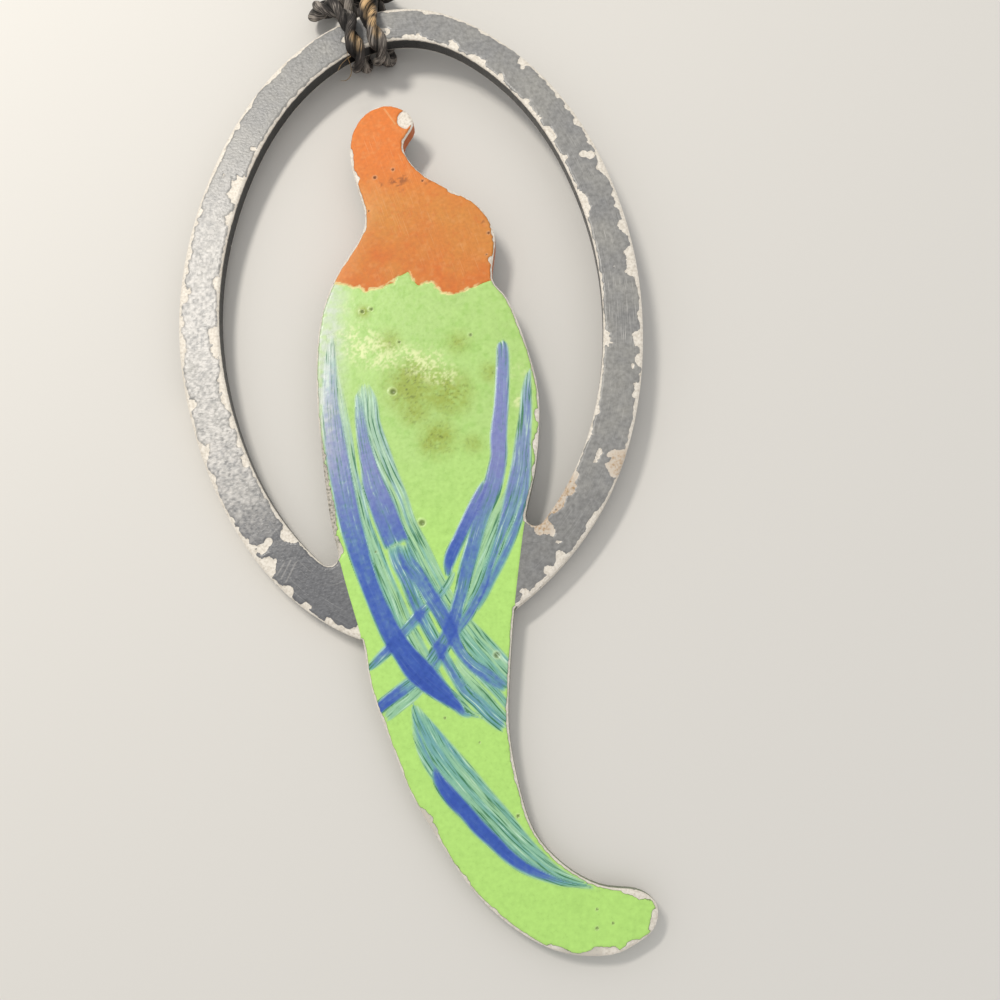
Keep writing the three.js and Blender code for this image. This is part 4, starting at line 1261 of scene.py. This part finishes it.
# Strokes as the brush left them: points x, y, width, load of paint. Loads add up where strokes
# cross. Each has so many lines of hairs across it, and how unevenly they carry the paint.
strokes = {
    "leftOuter": {
        "path": [(-12.8, 12.8, 0.38, 0.15), (-12.8, 10.4, 0.99, 0.45), (-12.7, 7.6, 1.21, 0.7),
                 (-12.4, 5.2, 1.5, 0.85), (-12.0, 2.9, 1.64, 0.9), (-11.5, 0.6, 1.63, 0.9),
                 (-11.0, -1.6, 1.62, 0.95), (-10.4, -3.5, 1.54, 1.0), (-9.9, -5.0, 1.38, 1.05),
                 (-9.2, -6.8, 1.3, 1.1), (-8.4, -8.6, 1.37, 1.1), (-7.6, -10.2, 1.43, 1.15),
                 (-6.8, -11.3, 1.5, 1.3), (-5.9, -12.4, 1.75, 1.4), (-4.9, -13.35, 1.55, 1.4),
                 (-3.8, -14.3, 1.1, 1.3), (-3.0, -15.0, 0.7, 1.2), (-2.5, -15.5, 0.49, 0.7),
                 (-1.8, -15.7, 0.28, 0.35)],
        "hairs": 5, "uneven": 0.12,
    },
    "leftOuterVeil": {
        "path": [(-12.2, 9.6, 0.46, 0.1), (-11.7, 6.8, 0.6, 0.25), (-11.3, 4.5, 0.75, 0.35),
                 (-10.9, 2.2, 0.74, 0.4), (-10.3, -0.1, 0.89, 0.4), (-9.8, -2.0, 0.95, 0.4),
                 (-9.1, -3.9, 1.09, 0.4), (-8.4, -5.7, 1.16, 0.38), (-7.6, -7.5, 1.23, 0.36),
                 (-6.8, -9.3, 1.29, 0.35), (-5.9, -10.9, 1.28, 0.35), (-4.9, -12.5, 1.21, 0.38),
                 (-4.0, -13.8, 1.06, 0.4), (-2.9, -14.7, 0.77, 0.38), (-2.0, -15.5, 0.42, 0.38),
                 (-1.1, -15.8, 0.21, 0.3)],
        "hairs": 7, "uneven": 0.55,
    },
    "leftInnerVeil": {
        "path": [(-10.2, 8.9, 0.61, 0.15), (-10.0, 7.6, 1.51, 0.3), (-9.8, 5.6, 1.8, 0.35),
                 (-9.2, 3.7, 1.94, 0.35), (-8.4, 1.8, 1.78, 0.38), (-7.5, -0.1, 1.62, 0.38),
                 (-6.8, -2.0, 1.46, 0.38), (-5.9, -3.7, 1.38, 0.38), (-5.0, -5.5, 1.3, 0.38),
                 (-4.2, -6.9, 1.15, 0.35), (-3.4, -8.2, 1.15, 0.22), (-2.6, -9.3, 1.29, 0.3),
                 (-1.7, -10.5, 1.71, 0.38), (-0.7, -11.6, 1.84, 0.4), (0.2, -12.6, 1.83, 0.4),
                 (0.9, -13.3, 1.55, 0.4)],
        "hairs": 9, "uneven": 0.55,
    },
    "leftInner": {
        "path": [(-10.7, 8.1, 0.45, 0.3), (-10.4, 6.0, 0.75, 0.55), (-10.1, 4.1, 0.9, 0.8),
                 (-9.7, 2.5, 1.12, 0.9), (-9.3, 1.0, 1.48, 0.95), (-8.6, -0.7, 1.69, 1.0),
                 (-8.0, -2.2, 1.76, 1.0), (-7.4, -3.6, 1.82, 0.9)],
        "hairs": 5, "uneven": 0.15,
    },
    "leftInnerLow": {
        "path": [(-7.8, -3.4, 0.88, 0.3), (-7.4, -4.7, 0.94, 0.75), (-6.7, -6.1, 0.94, 0.75),
                 (-6.1, -7.5, 1.01, 0.75), (-5.6, -8.6, 1.0, 0.75), (-5.0, -9.7, 0.93, 0.65),
                 (-4.4, -10.7, 0.93, 0.7), (-3.8, -11.8, 0.78, 0.75), (-3.2, -12.8, 0.78, 0.72),
                 (-2.5, -13.9, 0.85, 0.65), (-1.5, -14.8, 0.98, 0.6), (-0.6, -15.7, 0.98, 0.6),
                 (0.4, -16.5, 0.84, 0.6)],
        "hairs": 5, "uneven": 0.22,
    },
    "leftInnerHigh": {
        "path": [(-7.2, -3.3, 1.02, 0.3), (-6.6, -4.8, 1.02, 0.8), (-5.8, -5.9, 1.09, 0.85),
                 (-5.0, -7.2, 1.08, 0.9), (-4.2, -8.4, 1.15, 0.95), (-3.6, -9.5, 1.07, 1.0),
                 (-3.1, -10.6, 0.93, 0.95), (-2.6, -11.4, 0.78, 0.85), (-1.8, -12.2, 0.92, 0.75),
                 (-0.9, -12.8, 0.99, 0.75), (-0.1, -13.4, 0.84, 0.75), (0.6, -13.8, 0.63, 0.7)],
        "hairs": 5, "uneven": 0.2,
    },
    "leftLowVeil": {
        "path": [(-3.4, -11.4, 0.71, 0.2), (-2.7, -12.4, 1.42, 0.35), (-1.8, -13.3, 1.69, 0.38),
                 (-0.8, -14.3, 1.69, 0.4), (0.1, -15.3, 1.54, 0.4), (0.8, -16.0, 1.26, 0.4)],
        "hairs": 9, "uneven": 0.6,
    },
    "rightInner": {
        "path": [(0.1, 12.2, 0.38, 0.6), (0.2, 11.6, 0.83, 0.85), (0.2, 9.4, 0.98, 0.95),
                 (0.1, 7.0, 1.04, 1.0), (-0.1, 4.7, 1.19, 1.05), (-0.1, 3.0, 1.18, 1.05),
                 (-0.4, 1.4, 1.32, 0.95), (-0.7, 0.2, 1.32, 0.85), (-1.2, -1.1, 1.17, 0.8),
                 (-1.6, -2.4, 1.09, 0.78), (-2.0, -3.9, 1.09, 0.85), (-2.4, -5.4, 1.08, 0.85),
                 (-2.7, -6.8, 0.94, 0.8), (-3.0, -7.9, 0.93, 0.85), (-3.3, -9.0, 1.0, 0.9),
                 (-3.8, -10.2, 1.0, 0.8), (-4.4, -11.2, 1.07, 0.85), (-5.0, -12.1, 0.92, 0.5),
                 (-5.6, -12.9, 0.99, 0.5), (-6.5, -13.6, 0.99, 0.7), (-7.3, -14.2, 0.92, 1.1),
                 (-8.2, -14.9, 0.85, 1.2), (-8.8, -15.5, 0.71, 1.2)],
        "hairs": 4, "uneven": 0.12,
    },
    "rightBranch": {
        "path": [(-0.9, 1.3, 0.44, 0.5), (-1.3, 0.5, 0.73, 0.95), (-1.9, -0.8, 0.88, 1.1),
                 (-2.5, -2.1, 0.87, 1.15), (-3.0, -3.2, 0.87, 1.15), (-3.5, -4.3, 0.87, 1.15),
                 (-3.7, -5.1, 0.65, 1.05), (-3.7, -5.9, 0.29, 0.6)],
        "hairs": 3, "uneven": 0.1,
    },
    "rightBranchLow": {
        "path": [(-3.2, -5.4, 0.43, 0.3), (-3.7, -6.4, 0.58, 0.4), (-4.3, -7.2, 0.65, 0.45),
                 (-5.0, -7.9, 0.72, 0.4), (-5.7, -8.6, 0.86, 0.7), (-6.5, -9.5, 0.82, 0.6),
                 (-7.1, -10.2, 0.84, 0.7), (-7.7, -10.9, 0.84, 0.9), (-8.5, -11.7, 0.74, 0.8),
                 (-9.4, -12.6, 0.5, 0.6)],
        "hairs": 3, "uneven": 0.3,
    },
    "rightOuter": {
        "path": [(2.2, 9.8, 0.3, 0.4), (2.0, 8.2, 0.67, 0.6), (1.9, 6.2, 0.89, 0.7),
                 (1.7, 4.3, 1.11, 0.75), (1.5, 2.4, 1.25, 0.8), (1.1, 0.5, 1.24, 0.8),
                 (0.7, -1.0, 1.09, 0.78), (0.2, -2.4, 0.8, 0.75), (-0.3, -3.9, 0.65, 0.75),
                 (-0.7, -5.0, 0.65, 0.75), (-1.2, -6.5, 0.72, 0.75), (-1.8, -7.7, 0.79, 0.75),
                 (-2.3, -8.6, 0.86, 0.75), (-2.9, -9.5, 0.71, 0.6), (-3.5, -10.5, 0.57, 0.5),
                 (-4.2, -11.7, 0.57, 0.5), (-4.8, -12.7, 0.65, 0.4), (-5.5, -13.6, 0.8, 0.34),
                 (-6.3, -14.4, 0.85, 0.34), (-7.2, -15.1, 0.85, 0.34), (-8.1, -15.9, 0.7, 0.34)],
        "hairs": 4, "uneven": 0.2,
    },
    "rightEdge": {
        "path": [(2.2, 4.3, 0.3, 0.6), (2.1, 2.0, 0.44, 0.7), (1.8, -0.2, 0.58, 0.75),
                 (1.2, -2.1, 0.65, 0.75), (0.6, -3.6, 0.65, 0.75), (0.0, -4.9, 0.65, 0.7),
                 (-0.6, -6.1, 0.58, 0.7), (-1.1, -7.2, 0.5, 0.6), (-1.7, -8.2, 0.43, 0.5)],
        "hairs": 3, "uneven": 0.2,
    },
    "rightVeil": {
        "path": [(1.6, 2.0, 1.18, 0.3), (0.9, -0.2, 1.61, 0.3), (0.0, -2.4, 2.03, 0.3),
                 (-0.9, -4.6, 2.02, 0.3), (-1.7, -6.7, 1.58, 0.3), (-2.4, -8.1, 1.0, 0.3)],
        "hairs": 8, "uneven": 0.4,
    },
    "tailVeil": {
        "path": [(-6.1, -14.8, 0.28, 0.3), (-5.7, -15.8, 1.05, 0.45), (-5.1, -17.0, 1.82, 0.5),
                 (-4.4, -18.2, 2.3, 0.5), (-3.5, -19.4, 2.5, 0.45), (-2.6, -20.4, 2.49, 0.42),
                 (-1.5, -21.6, 2.34, 0.42), (-0.3, -22.8, 2.19, 0.42), (0.9, -24.0, 1.91, 0.42),
                 (2.2, -25.1, 1.49, 0.42), (3.5, -26.0, 1.01, 0.4), (4.9, -26.6, 0.61, 0.38),
                 (6.1, -26.9, 0.34, 0.3)],
        "hairs": 12, "uneven": 0.34,
    },
    "tailEdge": {
        "path": [(-4.6, -19.1, 0.35, 0.4), (-4.1, -20.2, 0.83, 1.1), (-3.3, -21.2, 1.04, 1.25),
                 (-2.3, -22.2, 0.96, 1.25), (-1.4, -23.2, 0.96, 1.25), (-0.4, -24.1, 0.89, 1.25),
                 (0.7, -25.1, 0.82, 1.2), (1.8, -25.8, 0.75, 1.05), (3.0, -26.3, 0.61, 0.85),
                 (4.2, -26.7, 0.47, 0.6), (5.4, -26.9, 0.34, 0.4), (6.6, -27.1, 0.2, 0.25)],
        "hairs": 3, "uneven": 0.1,
    },
}
# what a load of the blue paint looks like over the green: low on the body, and in its sheen above
paintTones = {
    "low": [(0.0, "#a9d39a"), (0.3, "#9ccba0"), (0.45, "#80b9a2"), (0.62, "#6ea6ae"), (0.8, "#6189b4"),
            (1.0, "#4a6cb6"), (1.25, "#385cb4"), (1.6, "#2c4faa")],
    "high": [(0.0, "#b1d29a"), (0.3, "#a5c9ac"), (0.45, "#96bbb2"), (0.62, "#869fbb"), (0.8, "#7b8dbb"),
             (1.0, "#848bc0"), (1.25, "#767dba"), (1.6, "#646cb2")],
}


brush = {
    "samples": 12,  # of the smooth line from each point of a path to the next
    "spacing": 0.2,
    "spread": 0.1,  # of the paint beyond the path's width, to each side
    "margin": 0.3,  # beyond the widest place, past which no point is looked at
    "longHair": 9,  # how far the broad and the fine lines of hairs run before they change
    "shortHair": 5,
    "sideFade": 0.3,
    "endFade": (-0.1, 0.45),
    "seed": 100,
    "seedStep": 7,
}


def brushed(x, y, load, way, stroke, seed):
    # Paint drawn along a line: for each point its distance along and across the nearest part of
    # the line; lines of hairs run along it, and the paint thins out at its sides and ends.
    route, along0 = evenly(smoothThrough(stroke["path"], brush["samples"]), brush["spacing"])
    reach = route[:, 2].max() / 2 + brush["margin"]
    low, high = route[:, :2].min(0) - reach, route[:, :2].max(0) + reach
    near = np.where((x > low[0]) & (x < high[0]) & (y > low[1]) & (y < high[1]))[0]
    gap = np.hypot(x[near, None] - route[None, :, 0], y[near, None] - route[None, :, 1])
    best = gap.argmin(1)
    run = np.gradient(route[:, :2], axis=0)
    run /= np.linalg.norm(run, axis=1)[:, None]
    dx, dy = x[near] - route[best, 0], y[near] - route[best, 1]
    along = along0[best] + dx * run[best, 0] + dy * run[best, 1]
    across = dx * -run[best, 1] + dy * run[best, 0]
    half = np.interp(along, along0, route[:, 2]) / 2 + brush["spread"]
    share = across / np.maximum(half, 0.05)
    streak = 0.6 * cellNoise(along / brush["longHair"], share * stroke["hairs"] / 2, seed)
    streak = streak + 0.4 * cellNoise(along / brush["shortHair"], share * stroke["hairs"], seed + 1)
    fade = brush["sideFade"] / np.maximum(half, 0.15)
    side = smoothStep(1.06 - np.abs(share) + 0.08 * streak, 0, fade)
    endGap = np.minimum(along, along0[-1] - along)
    ends = smoothStep(endGap + (0.15 + stroke["uneven"]) * streak, *brush["endFade"])
    carried = np.interp(along, along0, route[:, 3]) * (1 + stroke["uneven"] * 1.6 * streak)
    here = side * ends * np.clip(carried, 0, 2)
    stronger = here > load[near]
    way[near[stronger]] = np.stack([along, across, 0 * along + seed], 1)[stronger]
    load[near] = np.sqrt(load[near] ** 2 + here**2)


def bodyCoat():
    grid = FlatGrid(bodyTone["spacing"])
    plateField = grid.distanceTo(plateOutline)
    others = [blackOutline, orangeOutline]
    field, between = regionField(grid, plateField, greenOutline, others, -0.24)

    def skin(x, y):
        coat = edgeWear(x, y, grid, plateField, birdChips, birdWear)
        depth, step = -grid.sample(plateField, x, y), -grid.sample(field, x, y)
        z = raisedHeight(coat, depth, step, bodyTone["rise"])
        high = smoothStep(y, -6, 8) * (0.8 + 0.2 * cloudNoise(x, y, 3.2, 81))
        colour = mixColour(linear(bodyTone["base"]), linear(bodyTone["upper"]), high)
        mottle = smoothStep(cloudNoise(x, y, 0.5, 82, 4), -0.1, 0.7) * (0.25 + 0.5 * high)
        colour = mixColour(colour, linear(bodyTone["deep"]), mottle)
        speck = 1.15 + 0.7 * cloudNoise(x, y, 0.8, 83) + 0.6 * cloudNoise(x, y, 0.22, 84)
        dirt = smoothStep(cloudNoise(x, y, 0.17, 86), 0.22, 0.42)
        for *place, strength in bodyStains:
            there = spot(x, y, place) * strength * speck
            colour = mixColour(colour, linear(bodyTone["olive"]), there)
            colour = mixColour(colour, linear(bodyTone["speck"]), 0.45 * np.maximum(there, 0) * dirt)
        grit = smoothStep(cloudNoise(x, y, 0.16, 85) + 0.6 * cloudNoise(x, y, 0.7, 87), -0.3, 0.7)
        for *place, strength in bodyGlints:
            there = spot(x, y, place, 0.7, 0.8) * strength * grit
            colour = mixColour(colour, linear(bodyTone["glint"]), there)
        load, way = np.zeros(len(x)), np.zeros((len(x), 3))
        for k, stroke in enumerate(strokes.values()):
            brushed(x, y, load, way, stroke, brush["seed"] + brush["seedStep"] * k)
        # thick paint is crazed into small lighter and darker cells
        craze = cloudNoise(x + 0.4 * y, y - 0.3 * x, 0.26, 88)
        load = load * (1 + 0.22 * craze * smoothStep(load, 0.5, 0.9))
        lowPaint, highPaint = (rampColour(load, paintTones[k]) for k in ("low", "high"))
        paint = mixColour(lowPaint, highPaint, smoothStep(y, -5, 4))
        colour = mixColour(colour, paint, smoothStep(load, 0.03, 0.26))
        # painted highlight, not wear: pale along the left flank's edge, where the light catches it
        rubbed = smoothStep(-x, 10.9, 13.3) * smoothStep(y, -2, 8)
        rubbed = rubbed * (0.8 + 0.7 * cloudNoise(x, y, 0.35, 90))
        colour = mixColour(colour, linear(bodyTone["rubbed"]), 0.75 * rubbed)
        hair = cellNoise(way[:, 0] / 6, way[:, 1] / bodyTone["hairGap"], 89)
        ridges = bodyTone["ridge"] * hair * smoothStep(load, 0.05, 0.2)
        ridges = ridges * smoothStep(0.85 - load, 0, 0.4)
        z = z + bodyTone["strokeRise"] * smoothStep(load, 0.02, 1.2) + ridges
        colour = fringed(colour, grid, between, x, y, headTone["fringe"])
        z, colour = pitted(x, y, z, colour, bodyPits, bodyTone)
        lines = smoothStep(load, 0.1, 0.3) * smoothStep(1.05 - load, 0, 0.5) + 0.06
        # the bare strip beside the ring's lower gap is dirty
        grime = smoothStep(-x, 10.8, 11.6) * smoothStep(y, -5, -3) * smoothStep(6 - y, 0, 3)
        for place in birdRust:
            grime = np.maximum(grime, 0.45 * spot(x, y, place, 0.4))
        return z, dict(coat=coat, colour=colour, way=way, lines=lines, rust=grime)

    parts = sheetPiece("bodyCoat", grid, field, skin, wallLevels)
    nodes = ["green_body_coat", *(n for n in frame["nodes"] if n.startswith("stroke_"))]
    dressCoat(*parts, bodyTone["wall"], greenLook, "green_enamel", *nodes)


bodyCoat()
print("body coat and strokes made")


# The sheet's back
backTone = {"base": "#4a4a4a", "dark": "#38383a", "wall": "#3a3a3a", "spacing": 0.2}
backLevels = [(0.0, 0.4), (0.0, sheet["thickness"] - 0.05)]
backWear = dict(ringWear, inner=0.15, outer=0.2, seed=91)


def backSheet():
    # the sheet itself, seen from behind: black-coated and worn along its edges
    grid = FlatGrid(backTone["spacing"])
    plateField = grid.distanceTo(plateOutline)
    front = sheet["thickness"] + sheet["film"] + sheet["filmFoot"]

    def skin(x, y):
        coat = edgeWear(x, y, grid, plateField, [], backWear)
        depth = -grid.sample(plateField, x, y)
        cloud = 0.5 + 0.5 * cloudNoise(x, y, 2.4, 97)
        colour = mixColour(linear(backTone["base"]), linear(backTone["dark"]), cloud)
        made = dict(
            coat=coat * 0.7,
            colour=colour,
            rust=np.clip(cloudNoise(x, y, 5.0, 95) - 0.3, 0, 1),
            way=np.stack([y, x, 0 * x], 1),
            lines=0.12 * smoothStep(cloudNoise(x, y, 4.0, 98), 0, 0.5),
        )
        return front - coatHeight(coat + 1, depth), made  # the front's fall, turned over

    parts = sheetPiece("piercedSheet", grid, plateField, skin, backLevels, facing=-1)
    dressCoat(*parts, backTone["wall"], blackLook, "bare_metal", "pierced_plate")


backSheet()
print("back made")


# Floor, light
studio = {
    "floor": "#dedbd5",
    "floorReach": 2,  # metres to each side
    "floorRoughness": 0.8,
    "world": "#ffffff",
    "worldStrength": 0.66,
    "lamps": {
        "key": {"place": (-0.125, 0.125, 0.27), "size": 0.1, "watts": 1.15, "colour": "#fffaf2"},
        "fill": {"place": (0.22, -0.16, 0.28), "size": 0.30, "watts": 0.72, "colour": "#f4f7ff"},
        "rim": {"place": (0.15, 0.26, 0.22), "size": 0.16, "watts": 0.75, "colour": "#ffffff"},
    },
}
far = studio["floorReach"]
floor = meshPiece("floor", [(-far, -far, 0), (far, -far, 0), (far, far, 0), (-far, far, 0)], [(0, 1, 2, 3)])
floorMaterial = bpy.data.materials.new("palePaper")
floorMaterial.use_nodes = True
floorShader = floorMaterial.node_tree.nodes["Principled BSDF"]
floorShader.inputs["Base Color"].default_value = rgba(studio["floor"])
floorShader.inputs["Roughness"].default_value = studio["floorRoughness"]
floor.data.materials.append(floorMaterial)

world = bpy.data.worlds.new("studio")
world.use_nodes = True
background = world.node_tree.nodes["Background"]
background.inputs["Color"].default_value = rgba(studio["world"])
background.inputs["Strength"].default_value = studio["worldStrength"]
bpy.context.scene.world = world
for name, spec in studio["lamps"].items():
    light = bpy.data.lights.new(name, "AREA")
    light.shape = "DISK"
    light.size = spec["size"]
    light.energy = spec["watts"]
    light.color = linear(spec["colour"])
    lamp = addObject(name, light)
    lamp.location = spec["place"]
    aim = -np.array(spec["place"]) / np.linalg.norm(spec["place"])
    lamp.rotation_euler = Euler((math.acos(-aim[2]), 0, math.atan2(aim[0], -aim[1])), "XYZ")
bpy.context.scene.view_settings.view_transform = "Standard"
print("studio lit")
